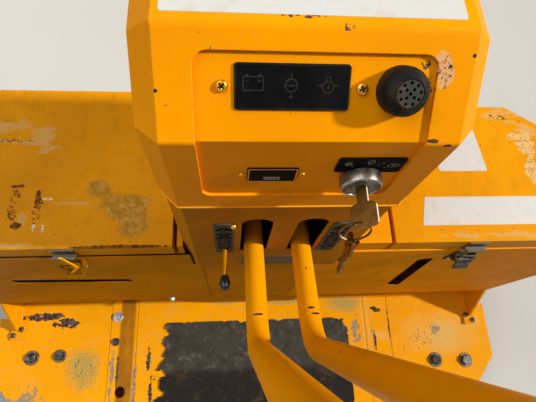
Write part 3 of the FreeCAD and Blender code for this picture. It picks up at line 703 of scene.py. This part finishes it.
class STATION_OT_finish_boxes(Maker):
    """Paint the cover boxes, their lids, hinges and brackets, and the left latch"""
    bl_idname = "station.finish_boxes"
    bl_label = "Paint the cover boxes"

    def execute(self, context):
        top = LID_TOP
        lid, front, bright = (tuple(tint) for tint in (colours().lid, colours().front, colours().enamel))
        dress(["lid_left"], zinc_keeper(enamel(
            "enamel_worn_on_left_lid", lid,
            faded=marks(top, 20, (-396, 202, 60, 18), (-340, 186, 34, 28), (-328, 164, 26, 20),
                        (-392, 177, 44, 9), (-560, 120, 90, 60), (-290, 78, 44, 5), (-352, 52, 9, 22))
            # a pale strip along the left end of the front edge, x -442 to -282 mm
            + marks(top, 12, (-362, 15, 80, 8)),
            glue=marks(top, 20, (-212, 72, 44, 24), (-200, 52, 24, 32), (-252, 98, 20, 16)),
            peeled=marks(top, 9, (-322, 84, 9, 2.6), (-334, 42, 2.6, 6), (-322, 40, 2.6, 6)),
            bare=marks(top, 9, (-366, 72, 10, 36), (-333, 66, 9, 36), (-385, 178, 40, 4)),
            steel=marks(top, 9, (-364, 104, 11, 3), (-358, 44, 8, 6), (-334, 84, 4, 14))
            # a dark line along the front edge, x -286 to -146 mm: painted shadow in the gap between the lid
            # and the box front
            + marks(top, 3.5, (-216, 12, 70, 3.0)),
            chipped=1.0, dust=0.5, undercoat="#E6D2B4", rust=("#94541C", "#5A3210"))))
        dress(["lid_right"], zinc_keeper(enamel(
            "enamel_worn_on_right_lid", lid,
            faded=marks(top, 20, (400, 232, 50, 22), (440, 200, 30, 22), (590, 140, 70, 70),
                        (430, 20, 250, 8)),
            peeled=marks(top, 20, (428, 175, 18, 26), (428, 130, 14, 30), (410, 190, 12, 8)),
            bare=marks(top, 9, (395, 226, 26, 8)), chipped=0.9, dust=0.4, rust=("#7E4E22", "#3C2410"))))
        grimy = {"chipped": 0.7, "dust": 0.6, "sheen": 0.5}
        even = {**grimy, "edges": 0}
        for nodes, finish, tint, wear in (
                # the left latch's dark enamel is painted shade
                (["latch_base_left", "latch_toggle_left"], "enamel_brushed_on_old_latch", linear("#8C5A00"),
                 {**even, "chipped": 1.2}),
                # the left boxes carry the darker box enamel as painted shade, the right ones the hood's
                # enamel; the hollows paint shade inside the boxes
                (["centre_panel", "side_box_left"], "enamel_sprayed_on_left_boxes", front, even),
                (["cross_panel_left"], "enamel_sprayed_on_left_panel", front, {**even, "hollow": (8.5, 900)}),
                (["cross_panel_right"], "enamel_sprayed_on_right_panel", bright,
                 {**grimy, "hollow": (8.5, 570)}),
                (["side_box_right"], "enamel_sprayed_on_right_box", bright, grimy),
                (["bracket_left", "bracket_right", "lid_hinges_left", "lid_hinges_right", "lid_straps_left",
                  "lid_straps_right"], "enamel_brushed_on_fittings", lid, {"chipped": 1.2, "dust": 0.5})):
            dress(nodes, enamel(finish, tint, **wear))
        return {"FINISHED"}


class STATION_OT_finish_deck(Maker):
    """Paint the deck plates and rails and wear them down"""
    bl_idname = "station.finish_deck"
    bl_label = "Paint the deck"

    def execute(self, context):
        tint = tuple(colours().deck)
        worn = partial(marks, DECK_TOP, 30)
        dress(["deck_plate_left", "deck_plate_centre", "deck_plate_right"], walked_enamel(
            "enamel_walked_off_deck_plate", tint,
            grey=worn((496, -76, 22, 20), (-560, -230, 60, 70), (276, -75, 16, 50), (-301, -210, 5, 130)),
            pale=worn((70, 14, 120, 18), (245, 0, 56, 28), (-70, 14, 60, 14), (-430, -145, 50, 60)),
            swept=worn((510, -86, 120, 66), (298, -60, 5, 120), (600, -60, 30, 30)),
            bare=worn((-540, -13, 78, 13), (-478, -30, 46, 18), (-270, -130, 7, 40), (-262, -210, 7, 60)),
            flecked=worn((-430, -140, 70, 90), (460, -100, 80, 50), (-270, -120, 20, 90))))
        dress(["rail_left", "cross_beams"], walked_enamel(
            "enamel_walked_off_left_rail", tint, grey=worn((-360, -150, 9, 90), (-306, -200, 5, 130)),
            # the grime band is a painted shadow of the raised centre plate, streaked with trodden dirt
            bare=worn((-346, -150, 4, 60)), grime=(-346, -309)))
        dress(["rail_right"], walked_enamel(
            "enamel_walked_off_right_rail", tint, grey=worn((321, -95, 4, 60), (370, -60, 5, 90)),
            swept=worn((311, -60, 5, 120), (343, -88, 30, 20)),
            bare=worn((338, -20, 20, 11), (368, -70, 3, 50), (326, -100, 4, 30))))
        return {"FINISHED"}


class STATION_OT_finish_metal(Maker):
    """Give the bare metal, plastic and rubber nodes their finishes"""
    bl_idname = "station.finish_metal"
    bl_label = "Finish the bare metal"

    def execute(self, context):
        for finish, nodes in (("keeper", ["latch_base_right", "latch_toggle_right"]),
                              ("key", ["ignition_key", "spare_key_ring"]),
                              ("chrome", ["ignition_switch"]),
                              ("dark", ["pivot_shaft", "shaft_bearing_left", "shaft_bearing_right"]),
                              ("matt", ["legend_plate", "warning_light_unit", "hour_meter"]),
                              ("plate", ["guide_plate_left", "guide_plate_right"]),
                              ("plastic", ["buzzer"]),
                              ("phenolic", ["hand_lever_knob"]),
                              ("rubber", ["lever_grip_left", "lever_grip_right"]),
                              ("mat", ["grip_mat"])):
            dress(nodes, finish)
        return {"FINISHED"}


def pan_screw(radius):
    """Pan head screw with a cross recess, standing on the face, radius in mm."""
    head = turned([(radius, 0), (radius, 0.26 * radius), (0.9 * radius, 0.48 * radius),
                   (0.62 * radius, 0.66 * radius), (0.2 * radius, 0.72 * radius)], 32)
    deep = 0.7 * radius
    return cut(head, block((1.2 * radius, 0.36 * radius, deep), (0, 0, 0.8 * radius)),
               block((0.36 * radius, 1.2 * radius, deep), (0, 0, 0.8 * radius)))


def set_screws(radius, finish, spots):
    """Set cross recess screws of one size at (name, place, turn), with a black insert in each recess as
    painted shade.
    """
    # black inserts at the bottom of the cross recesses: painted shade
    dirt = joined([block((1.1 * radius, 0.3 * radius, 0.16 * radius), (0, 0, 0.48 * radius)),
                   block((0.3 * radius, 1.1 * radius, 0.16 * radius), (0, 0, 0.48 * radius))])
    screws = copies(pan_screw(radius), len(spots))
    for screw, fill, (name, place, turn) in zip(screws, copies(dirt, len(spots)), spots):
        settle(shifted(screw, turn=turn), name, place, finish)
        settle(shifted(fill, turn=turn), name + "_dirt", place, "bezel")


class STATION_OT_panel_screws(Maker):
    """Set the screws of the instrument panel and hour meter, black discs as painted shade of the hood's
    pinholes, and a rivet
    """
    bl_idname = "station.panel_screws"
    bl_label = "Panel screws"

    def execute(self, context):
        radius = sizes().screw / MM
        set_screws(radius, "brass", (("panel_screw_left", on_tilt(-66.5, 40.6), 40),
                                     ("panel_screw_right", on_tilt(33.0, 40.0), 25)))
        set_screws(radius * 0.6, "brass", (("hour_meter_screw_left", on_front(-51.0, 913), 15),
                                           ("hour_meter_screw_right", on_front(1.0, 913), 15)))
        # black discs stand for the hood's pinholes: painted shade
        holes = copies(turned([(1.3, 0), (1.3, 0.15), (0.6, 0.2)], 16), 2)
        settle(holes[0], "hood_pinhole_left", on_tilt(-111, 37, 0), "bezel")
        settle(holes[1], "hood_pinhole_right", on_tilt(110.5, 64, 0), "bezel")
        rivet = turned([(3.3, 0), (3.3, 0.8), (2.8, 2.2), (1.7, 3.2), (0.6, 3.5)], 24)
        settle(rivet, "guide_rivet", on_front(-57.3, 774, 0.5), "brass")
        return {"FINISHED"}


def bar(width, height, x=0, y=0, turn=0, thick=INK):
    """A printed stroke, width and height in mm about its middle."""
    stroke = block((width, height, thick), (0, 0, thick / 2))
    round_edges(stroke, upright, 0.2 * min(width, height), 2)
    return shifted(stroke, x, y, 0, turn)


def hoop(radius, stroke, x=0, y=0):
    """A printed ring: a disc with its middle cut out."""
    ring = turned([(radius, 0), (radius, INK)], 32)
    hole = turned([(radius - stroke, -1), (radius - stroke, 1)], 32)
    return shifted(cut(ring, hole), x, y)


class STATION_OT_hood_hem(Maker):
    """Fold the hem along the hood's lower edge, in a lighter enamel that is a painted highlight"""
    bl_idname = "station.hood_hem"
    bl_label = "Hood hem"

    def execute(self, context):
        run = 19 * math.sqrt(2)
        strips = [shifted(block((223, 1.4, 2.4)), y=-0.5)]
        for side, strip in zip((-1, 1), copies(block((run, 1.4, 2.4)), 2)):
            strips.append(shifted(strip, side * 121.9, 9.1, 0, side * 45))
        hem = joined(strips)
        round_edges(hem, above(1.1), 0.5, 2)
        # the hem's lighter enamel is a painted highlight along the hood's lower edge
        paint = enamel("enamel_rubbed_on_hem", linear("#FFB020"), chipped=0.3, dust=0.0, edges=0)
        settle(hem, "hood_hem", on_top(0, 0, 841.2), paint)
        return {"FINISHED"}


class STATION_OT_warning_lights(Maker):
    """Make the warning light unit: bezel, smoked window and three symbols"""
    bl_idname = "station.warning_lights"
    bl_label = "Warning lights"

    def execute(self, context):
        rim = sizes().bezel / MM
        case = block((82, 32, 1.4), (0, 0, 0.7))
        round_edges(case, upright, 2.4, 4)
        sink(case, facing(0, 0, 1), rim, -0.7)

        def outer(edge):
            return above(1.3)(edge) and max(abs(vert.co.x) for vert in edge.verts) > (41 - rim / 2) * MM

        round_edges(case, outer, 0.55)
        centre = on_tilt(-17, 40.5)
        settle(case, "warning_light_bezel", centre, "bezel")
        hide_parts("warning_light_unit")
        window = block((82 - 2 * rim, 32 - 2 * rim, 0.4), (0, 0, 0.8))
        round_edges(window, upright, 1.2, 3)
        settle(window, "warning_light_window", centre, "lens")
        battery = [bar(14.5, 0.7, 0, -4.6), bar(14.5, 0.7, 0, 4.6), bar(0.7, 9.6, -7, 0),
                   bar(0.7, 9.6, 7, 0), bar(2.4, 1.3, -4.4, 5.4), bar(2.4, 1.3, 4.4, 5.4),
                   bar(2.6, 0.6, -4, 1.8), bar(2.6, 0.6, 4, 1.8), bar(0.6, 2.6, 4, 1.8)]
        strainer = [hoop(4.7, 0.75), bar(8, 0.5, 0, 0), bar(0.7, 4, 0, 6.4), bar(0.7, 2.6, 0, -5.8),
                    bar(2.2, 1.6, 0, -8, 45)]
        strainer += [bar(0.9, 0.4, 1.5 * k, -0.9) for k in (-1, 0, 1)]
        drop = [hoop(4.3, 0.75, 0, -0.6), bar(0.7, 3, -1.5, 4.6), bar(0.7, 3, 1.5, 4.6),
                bar(3.7, 0.7, 0, 6.2), bar(1.7, 1.7, 0, -0.9, 45), bar(0.6, 1.8, 0, 1),
                bar(2.4, 0.6, -6.6, 0.6), bar(2.4, 0.6, 6.6, 0.6), bar(1.6, 1.6, -5.4, 0.6, 45),
                bar(1.6, 1.6, 5.4, 0.6, 45)]
        for name, strokes, x, s in (("battery", battery, -44.5, 42.6), ("strainer", strainer, -18, 41.6),
                                    ("oil", drop, 8.3, 41.4)):
            settle(joined(strokes), "symbol_" + name, on_tilt(x, s, -2.0), "ink")
        return {"FINISHED"}


class STATION_OT_buzzer(Maker):
    """Turn the buzzer and drill its sound holes"""
    bl_idname = "station.buzzer"
    bl_label = "Buzzer"

    def execute(self, context):
        shell = turned([(16.8, 0), (17.5, 0.7), (17.5, 9.5), (17.1, 12.4), (16.0, 15.0), (14.2, 17.2),
                        (12.4, 18.6), (11.2, 19.4), (10.6, 20.3), (10.2, 21.0), (9.7, 21.0), (9.4, 20.4),
                        (4.0, 20.5)], 64)
        disc = turned([(9.2, 20.3), (9.2, 20.7), (0.3, 20.7)], 48)
        places = [(7.3, 10 + 40 * number) for number in range(9)]
        places += [(3.7, 50 + 90 * number) for number in range(4)] + [(0.0, 0)]
        drill = turned([(sizes().hole / MM, 17.5), (sizes().hole / MM, 22)], 12)
        drills = []
        for tool, (reach, angle) in zip(copies(drill, len(places)), places):
            side, up = math.cos(math.radians(angle)), math.sin(math.radians(angle))
            drills.append(shifted(tool, reach * side, reach * up))
        for piece, tools in zip((disc, shell), copies(joined(drills), 2)):
            cut(piece, tools)
        place = on_tilt(60.5, 39.4)
        settle(shell, "buzzer_shell", place, "plastic")
        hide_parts("buzzer")
        settle(disc, "buzzer_disc", place, "disc")
        return {"FINISHED"}


class STATION_OT_hour_meter(Maker):
    """Make the hour meter: bezel, window, rim and counting drums without figures"""
    bl_idname = "station.hour_meter"
    bl_label = "Hour meter"

    def execute(self, context):
        case = block((43, 26.5, 1.5), (0, 0, 0.75))
        round_edges(case, upright, 1.6, 3)
        sink(case, facing(0, 0, 1), 1.3, -0.7)
        place = on_front(*METER_MIDDLE)
        settle(case, "hour_meter_bezel", place, "matt")
        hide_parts("hour_meter")
        window = block((40, 23.5, 0.3), (0, 0, 0.95))
        round_edges(window, upright, 0.8, 2)
        settle(window, "hour_meter_window", place, "matt")
        rim = block((41.6, 25.1, 0.5), (0, 0, 1.45))
        round_edges(rim, upright, 1.2, 3)
        cut(rim, block((40.0, 23.5, 3), (0, 0, 1.4)))
        settle(rim, "hour_meter_rim", place, "brass")
        drums = [shifted(drum, -5.6 + 2.8 * k, -6.2) for k, drum in enumerate(copies(bar(2.1, 3.4), 5))]
        drums += [bar(15, 0.4, 0, -3.6), bar(15, 0.4, 0, -8.8)]
        settle(joined(drums), "hour_meter_drums", on_front(*METER_MIDDLE, 1.85), "pale_ink")
        return {"FINISHED"}


class STATION_OT_ignition(Maker):
    """Turn the ignition switch and its inner barrel"""
    bl_idname = "station.ignition"
    bl_label = "Ignition switch"

    def execute(self, context):
        place = on_front(52.2, 911)
        ring = turned([(10, -21), (10, 0), (17.4, 0), (17.4, 1.4), (18.5, 1.8), (18.5, 10.6),
                       (18.1, 12.2), (17.2, 13.2), (16.6, 13.2), (16.2, 12.6), (16.0, 11.4), (9.0, 11.4)], 72)
        settle(ring, "ignition_bezel", place, "chrome")
        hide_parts("ignition_switch")
        barrel = turned([(9.6, 11.3), (9.6, 12.3), (9.0, 12.7), (6.2, 12.7), (5.9, 12.4)], 48)
        cut(barrel, shifted(block((12, 3.2, 2), (0, 0, 12.8)), turn=48))
        face = turned([(15.7, 11.3), (15.7, 12.0), (9.8, 12.0)], 64)
        notches = copies(block((4.2, 2.2, 2), (13.2, 0, 12.4)), 4)
        cut(face, joined([shifted(notch, turn=a) for notch, a in zip(notches, (20, 95, 200, 300))]))
        settle(joined([barrel, face]), "ignition_barrel", place, "dull")
        return {"FINISHED"}


class STATION_OT_legend(Maker):
    """Print the key switch's symbols on the legend plate"""
    bl_idname = "station.legend"
    bl_label = "Legend plate"

    def execute(self, context):
        signs = [hoop(2.9, 0.5, -19, 3), bar(3.4, 0.5, -19, 3), bar(0.5, 1.8, -21, 3), bar(0.5, 1.8, -17, 3),
                 hoop(3.1, 0.5, -1, 7), bar(2.4, 0.5, -1, 7, 90), bar(0.5, 3.5, 10, 5, -20),
                 hoop(2.6, 0.5, 17, 0), hoop(2.6, 0.5, 22, 0.6), bar(5, 0.5, 19.5, 3.2, 8)]
        signs += [hoop(0.6, 0.3, x, y) for x, y in ((-15, -1), (-2, 3), (7, 1.5), (13, -3.5))]
        settle(joined(signs), "legend_symbols", on_front(55.2, 932, 1.8), "pale_ink")
        return {"FINISHED"}


class STATION_OT_guide_plates(Maker):
    """Make the octagonal guide plates with their slots and arrows"""
    bl_idname = "station.guide_plates"
    bl_label = "Guide plates"

    def execute(self, context):
        plate = block((24, 126.5, 2.5), (0, 0, 1.25))
        round_edges(plate, upright, 5.5, 1)
        sink(plate, facing(0, 0, 1), 1.8, -0.7)
        slot = block((9, 115, 8), (0, -3.75, 0))
        round_edges(slot, upright, 4.4, 6)
        cut(plate, slot)
        round_edges(plate, above(2.4), 0.3, 2)
        head = []
        for level, spread in ((44, 1), (24, -1), (10, 1), (-40, -1)):
            head += [bar(9.5, 3.0, side * 5.6, level, -side * spread * 48, 0.7) for side in (-1, 1)]
        head += [bar(1.6, 30, side * 6.2, -14, 0, 0.7) for side in (-1, 1)]
        for name, x, low, board, arrow in zip(("left", "right"), (-68.5, 72.0), (672, 656), copies(plate, 2),
                                              copies(joined(head), 2)):
            settle(board, "lever_guide_" + name, on_front(x, GUIDE_MIDDLE), "plate")
            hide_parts("guide_plate_" + name)
            # the rubber lips run down both sides of the slot, from 769 mm
            lip = joined([block((4.4, 769 - low, 1.4), (side * 2.35, 0, 0)) for side in (-1, 1)])
            settle(lip, "guide_lip_" + name, on_front(x, (769 + low) / 2, 2.2), "rubber")
            settle(arrow, "guide_arrow_" + name, on_front(x, GUIDE_MIDDLE, 1.0), "matt")
        return {"FINISHED"}


class STATION_OT_lever_grips(Maker):
    """Mould the ribbed grips on the steering levers"""
    bl_idname = "station.lever_grips"
    bl_label = "Lever grips"

    def execute(self, context):
        deep = sizes().rib / MM
        stations = [(19.6, 0), (20.5, 0.8), (20.5, 3.6), (19.4, 5.0), (17.2, 6.2)]
        for number in range(17):
            level = 8.0 + 5.3 * number
            stations += [(17.5 - deep, level), (17.4, level + 1.0), (17.5, level + 3.4),
                         (17.5 - deep, level + 4.4)]
        stations += [(17.5, 99.4), (17.4, 103.4), (16.4, 106.1), (13.5, 107.9), (7, 108.5), (1, 108.6)]
        for name, x, grip in zip(("left", "right"), (-29.0, 36.5), copies(turned(stations, 48), 2)):
            place = axes((x, -180.65, 1144.0), (1, 0, 0), (0, -0.1132, 0.9936))
            settle(grip, "ribbed_grip_" + name, place, "rubber", "steering_lever_" + name)
            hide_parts("lever_grip_" + name)
        return {"FINISHED"}


class STATION_OT_hand_knob(Maker):
    """Turn the knob of the small hand lever"""
    bl_idname = "station.hand_knob"
    bl_label = "Hand lever knob"

    def execute(self, context):
        knob = turned([(4.0, 0), (4.9, 0.7), (5.6, 3.0), (6.5, 6.0), (7.3, 9.5), (7.6, 12.0), (7.3, 14.8),
                       (6.4, 17.4), (5.0, 19.4), (3.0, 20.6), (1.0, 21.0)], 40)
        worked(knob, "SUBSURF", levels=1, render_levels=1)
        place = axes((-68.5, -36.2, 671.2), (1, 0, 0), (0, -0.9733, 0.2297))
        settle(knob, "hand_lever_ball", place, "phenolic")
        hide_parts("hand_lever_knob")
        return {"FINISHED"}


class STATION_OT_grip_mat(Maker):
    """Lay the torn grip mat on the deck"""
    bl_idname = "station.grip_mat"
    bl_label = "Grip mat"

    def execute(self, context):
        clear()
        bpy.ops.mesh.primitive_grid_add(x_subdivisions=164, y_subdivisions=110, size=MM, location=(0, 0, 0))
        mat = bpy.context.object
        bpy.ops.transform.resize(value=(506, 328, 1))
        bpy.ops.object.transform_apply(location=True, rotation=True, scale=True)
        tear = sizes().tear / MM

        def torn(face):
            x, y = [v / MM for v in face.calc_center_median().xy]
            taper = max(0.0, 0.16 * (y + 24))
            wild = noise.fractal(Vector((x / 26, y / 26, 0.7)), 1.0, 2.0, 4)
            sides = min(x + 256 - taper, 258 - x) - tear * (0.7 + 1.9 * wild)
            ends = min(164 - y + 3, 164 + y + 6) - tear * (0.3 + 0.7 * wild)
            return min(sides, ends) < 0

        pick(mat, "faces", torn)
        bpy.ops.mesh.delete(type="FACE")
        bpy.ops.mesh.select_mode(type="VERT")
        bpy.ops.mesh.select_all(action="SELECT")
        bpy.ops.mesh.vertices_smooth(factor=0.4, repeat=2, wait_for_input=False)
        bpy.ops.object.mode_set(mode="OBJECT")
        worked(mat, "SOLIDIFY", thickness=3.6 * MM, offset=1.0)
        settle(mat, "grip_mat_torn", on_top(0, -201, DECK_TOP + 0.1), "mat")
        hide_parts("grip_mat")
        return {"FINISHED"}


def hex_head(across, high):
    """Hexagon bolt head with a turned dish in its top, sizes in mm."""
    radius = across / 2 / math.cos(math.pi / 6)
    return turned([(radius, 0), (radius, high), (radius * 0.9, high + 1.0), (radius * 0.5, high + 1.0),
                   (radius * 0.46, high + 0.6)], 6)


class STATION_OT_bolts(Maker):
    """Set the deck bolts on their washers, the centre panel's bolt and the brackets' screws"""
    bl_idname = "station.bolts"
    bl_label = "Bolts"

    def execute(self, context):
        washer = sizes().washer / MM
        for number, (x, y, size, turn, under, finish) in enumerate((
                (-354, -19, 0.70, 10, "zinc", "zinc"), (-354, -81, 0.55, 30, "rusty", "dark"),
                (-556, -112, 0.95, 0, "rusty", "dark"), (-489, -110, 0.85, 20, "rusty", "dark"),
                (484, -156, 1.0, 12, "rusty", "dark"), (567, -160, 1.0, 40, "rusty", "dull")), 1):
            wide = washer * size
            disc = turned([(wide, 0), (wide, 2.0), (wide - 0.7, 2.6), (wide * 0.5, 2.6)], 40)
            settle(disc, "deck_washer_%d" % number, on_top(x, y, DECK_TOP), under, angle=25)
            head = shifted(hex_head(22 * size, 7 * size), z=2.5, turn=turn)
            settle(head, "deck_bolt_%d" % number, on_top(x, y, DECK_TOP), finish, angle=25)
        disc = turned([(8.5, 0), (8.5, 1.6), (5, 1.6)], 32)
        place = on_front(-200, 187, BOX_FRONT)
        settle(disc, "panel_washer", place, "zinc")
        settle(shifted(hex_head(10, 4), z=1.5), "panel_bolt", place, "zinc", angle=25)
        spots = ((589, -43), (607, -57), (-589, -43), (-607, -57))
        set_screws(6.4, "dull", [("bracket_screw_%d" % number, on_top(*spot, BRACKET_TOP), 20)
                                 for number, spot in enumerate(spots, 1)])
        return {"FINISHED"}


class STATION_OT_latch_details(Maker):
    """Add the painted strap of the left latch and the rivets of both latch bases"""
    bl_idname = "station.latch_details"
    bl_label = "Latch details"

    def execute(self, context):
        paint = enamel("enamel_brushed_on_latch", linear("#FFB400"), chipped=0.4, edges=0)
        heads = copies(turned([(2.6, 0), (2.6, 0.5), (2.1, 1.1), (1.0, 1.5)], 20), 4)
        names = ("left_1", "left_2", "right_1", "right_2")
        for name, x, head in zip(names, (-306, -284, 305, 327), heads):
            settle(head, "latch_rivet_" + name, on_front(x, 562, 5.5), "zinc")
        strap = block((4.5, 1.8, 4), (0, 0, 0))
        for move in ((9.5, -3.5, -40), (-15.5, -4, -23)):
            pick(strap, "faces", facing(0, 0, -1))
            bpy.ops.mesh.extrude_region_move(TRANSFORM_OT_translate={"value": Vector(move) * MM})
            bpy.ops.object.mode_set(mode="OBJECT")
        worked(strap, "BEVEL", width=0.5 * MM, segments=2)
        settle(strap, "latch_strap_left", on_top(-294, -1.8, 645), paint)
        return {"FINISHED"}


class STATION_OT_labels(Maker):
    """Lay the blank labels on the hood and the right lid"""
    bl_idname = "station.labels"
    bl_label = "Blank labels"

    def execute(self, context):
        film = sizes().label / MM
        for name, width, deep, x, y, z, body, corner, lean in (
                ("hood", 211, 46, -1.5, 90.5, HOOD_TOP, "station", 2.5, 0),
                ("lid_long", 197, 46, 327.5, 59.8, LID_TOP, "lid_right", 2.0, 10),
                ("lid_square", 80, 76, 311.4, 164.8, LID_TOP, "lid_right", 3.0, -9)):
            sticker = block((width, deep, film), (0, 0, film / 2))
            pick(sticker, "verts", lambda vert: vert.co.y > 0)
            bpy.ops.transform.translate(value=(lean * MM, 0, 0))
            bpy.ops.object.mode_set(mode="OBJECT")
            round_edges(sticker, upright, corner, 6)
            settle(sticker, "label_" + name, on_top(x, y, z), "label", body)
        return {"FINISHED"}


class STATION_OT_column_strip(Maker):
    """Stick the blank grey strip on the column"""
    bl_idname = "station.column_strip"
    bl_label = "Column strip"

    def execute(self, context):
        strip = block((84, 50, 0.4), (0, 0, 0.2))
        round_edges(strip, upright, 3, 3)
        settle(strip, "column_strip", on_front(-2, 589), "strip")
        return {"FINISHED"}


class STATION_OT_weld_beads(Maker):
    """Lay the weld beads of the brackets"""
    bl_idname = "station.weld_beads"
    bl_label = "Weld beads"

    def execute(self, context):
        radius = sizes().bead / MM
        stations = [(0.6 * radius, 0)]
        for number in range(14):
            stations += [(radius, 1.6 + 3.2 * number), (0.8 * radius, 3.2 + 3.2 * number)]
        stations += [(0.5 * radius, 47.5)]
        paint = enamel("enamel_over_weld", tuple(colours().enamel), chipped=0.8, dust=0.4, edges=0)
        for name, x, bead in zip(("left", "right"), (-594.4, 594.4), copies(turned(stations, 14), 2)):
            place = axes((x, -34, DECK_TOP + 0.8), (1, 0, 0), (0, 1, 0))
            settle(bead, "weld_bead_" + name, place, paint)
        return {"FINISHED"}


class STATION_OT_stage(Maker):
    """Set up the floor, the lights and the camera"""
    bl_idname = "station.stage"
    bl_label = "Stage"

    def execute(self, context):
        clear()
        bpy.ops.mesh.primitive_plane_add(size=12, location=(0, 0, -0.0005))
        floor = bpy.context.object
        floor.name = "studio_floor"
        floor.data.materials.append(floor_paint("floor_paint_matt", tuple(colours().floor)))
        bpy.ops.object.light_add(type="SUN", location=(1.5, 0.1, 2))
        sun = bpy.context.object
        sun.name = "key_light"
        sun.data.energy = 4.1
        sun.data.color = (1.0, 0.96, 0.88)
        sun.data.angle = math.radians(3)
        sun.rotation_euler = Vector(SUN_RAY).to_track_quat("-Z", "Y").to_euler()
        bpy.ops.object.light_add(type="AREA", location=(-2.4, 0.4, 4.9))
        soft = bpy.context.object
        soft.name = "overhead_softbox"
        soft.data.shape = "SQUARE"
        soft.data.size = 5.0
        soft.data.energy = 165
        soft.rotation_euler = Vector(SKY_RAY).to_track_quat("-Z", "Y").to_euler()
        sky = bpy.data.worlds.new("studio_sky")
        sky.use_nodes = True
        tree = sky.node_tree
        strength = add(tree, "MapRange", seen_directly(tree), 0, 1, 0.18, 0.6)
        feed(tree.nodes["Background"], Color=(1.0, 0.98, 0.95), Strength=strength)
        bpy.context.scene.world = sky
        bpy.ops.object.camera_add(location=EYE, rotation=[math.radians(angle) for angle in EYE_TURN])
        camera = bpy.context.object
        camera.name = "operators_eye"
        camera.data.lens = EYE_LENS
        camera.data.sensor_width = 36
        camera.data.clip_start = 0.01
        bpy.context.scene.camera = camera
        bpy.context.scene.view_settings.view_transform = "Standard"
        return {"FINISHED"}


STEPS = (STATION_OT_mix_finishes, STATION_OT_finish_console, STATION_OT_finish_boxes, STATION_OT_finish_deck,
         STATION_OT_finish_metal, STATION_OT_panel_screws, STATION_OT_hood_hem, STATION_OT_warning_lights,
         STATION_OT_buzzer, STATION_OT_hour_meter, STATION_OT_ignition, STATION_OT_legend,
         STATION_OT_guide_plates, STATION_OT_lever_grips, STATION_OT_hand_knob, STATION_OT_grip_mat,
         STATION_OT_bolts, STATION_OT_latch_details, STATION_OT_labels, STATION_OT_column_strip,
         STATION_OT_weld_beads, STATION_OT_stage)


class STATION_PT_panel(bpy.types.Panel):
    """Sizes, colours and steps of the control station"""
    bl_idname = "STATION_PT_panel"
    bl_label = "Control station"
    bl_space_type = "VIEW_3D"
    bl_region_type = "UI"
    bl_category = "Control station"

    def draw(self, context):
        layout = self.layout
        for group in (context.scene.station_sizes, context.scene.station_colours):
            for name in group.__annotations__:
                layout.prop(group, name)
        for step in STEPS:
            layout.operator(step.bl_idname)


CLASSES = (StationSizes, StationColours, *STEPS, STATION_PT_panel)


def register():
    """Add the classes and the scene's settings."""
    for item in CLASSES:
        bpy.utils.register_class(item)
    bpy.types.Scene.station_sizes = bpy.props.PointerProperty(type=StationSizes)
    bpy.types.Scene.station_colours = bpy.props.PointerProperty(type=StationColours)


def unregister():
    """Take them out again."""
    del bpy.types.Scene.station_colours
    del bpy.types.Scene.station_sizes
    for item in reversed(CLASSES):
        bpy.utils.unregister_class(item)


def main():
    """Register the classes and run every step in order."""
    register()
    for step in STEPS:
        group, name = step.bl_idname.split(".")
        getattr(getattr(bpy.ops, group), name)()


if __name__ == "__main__":
    main()
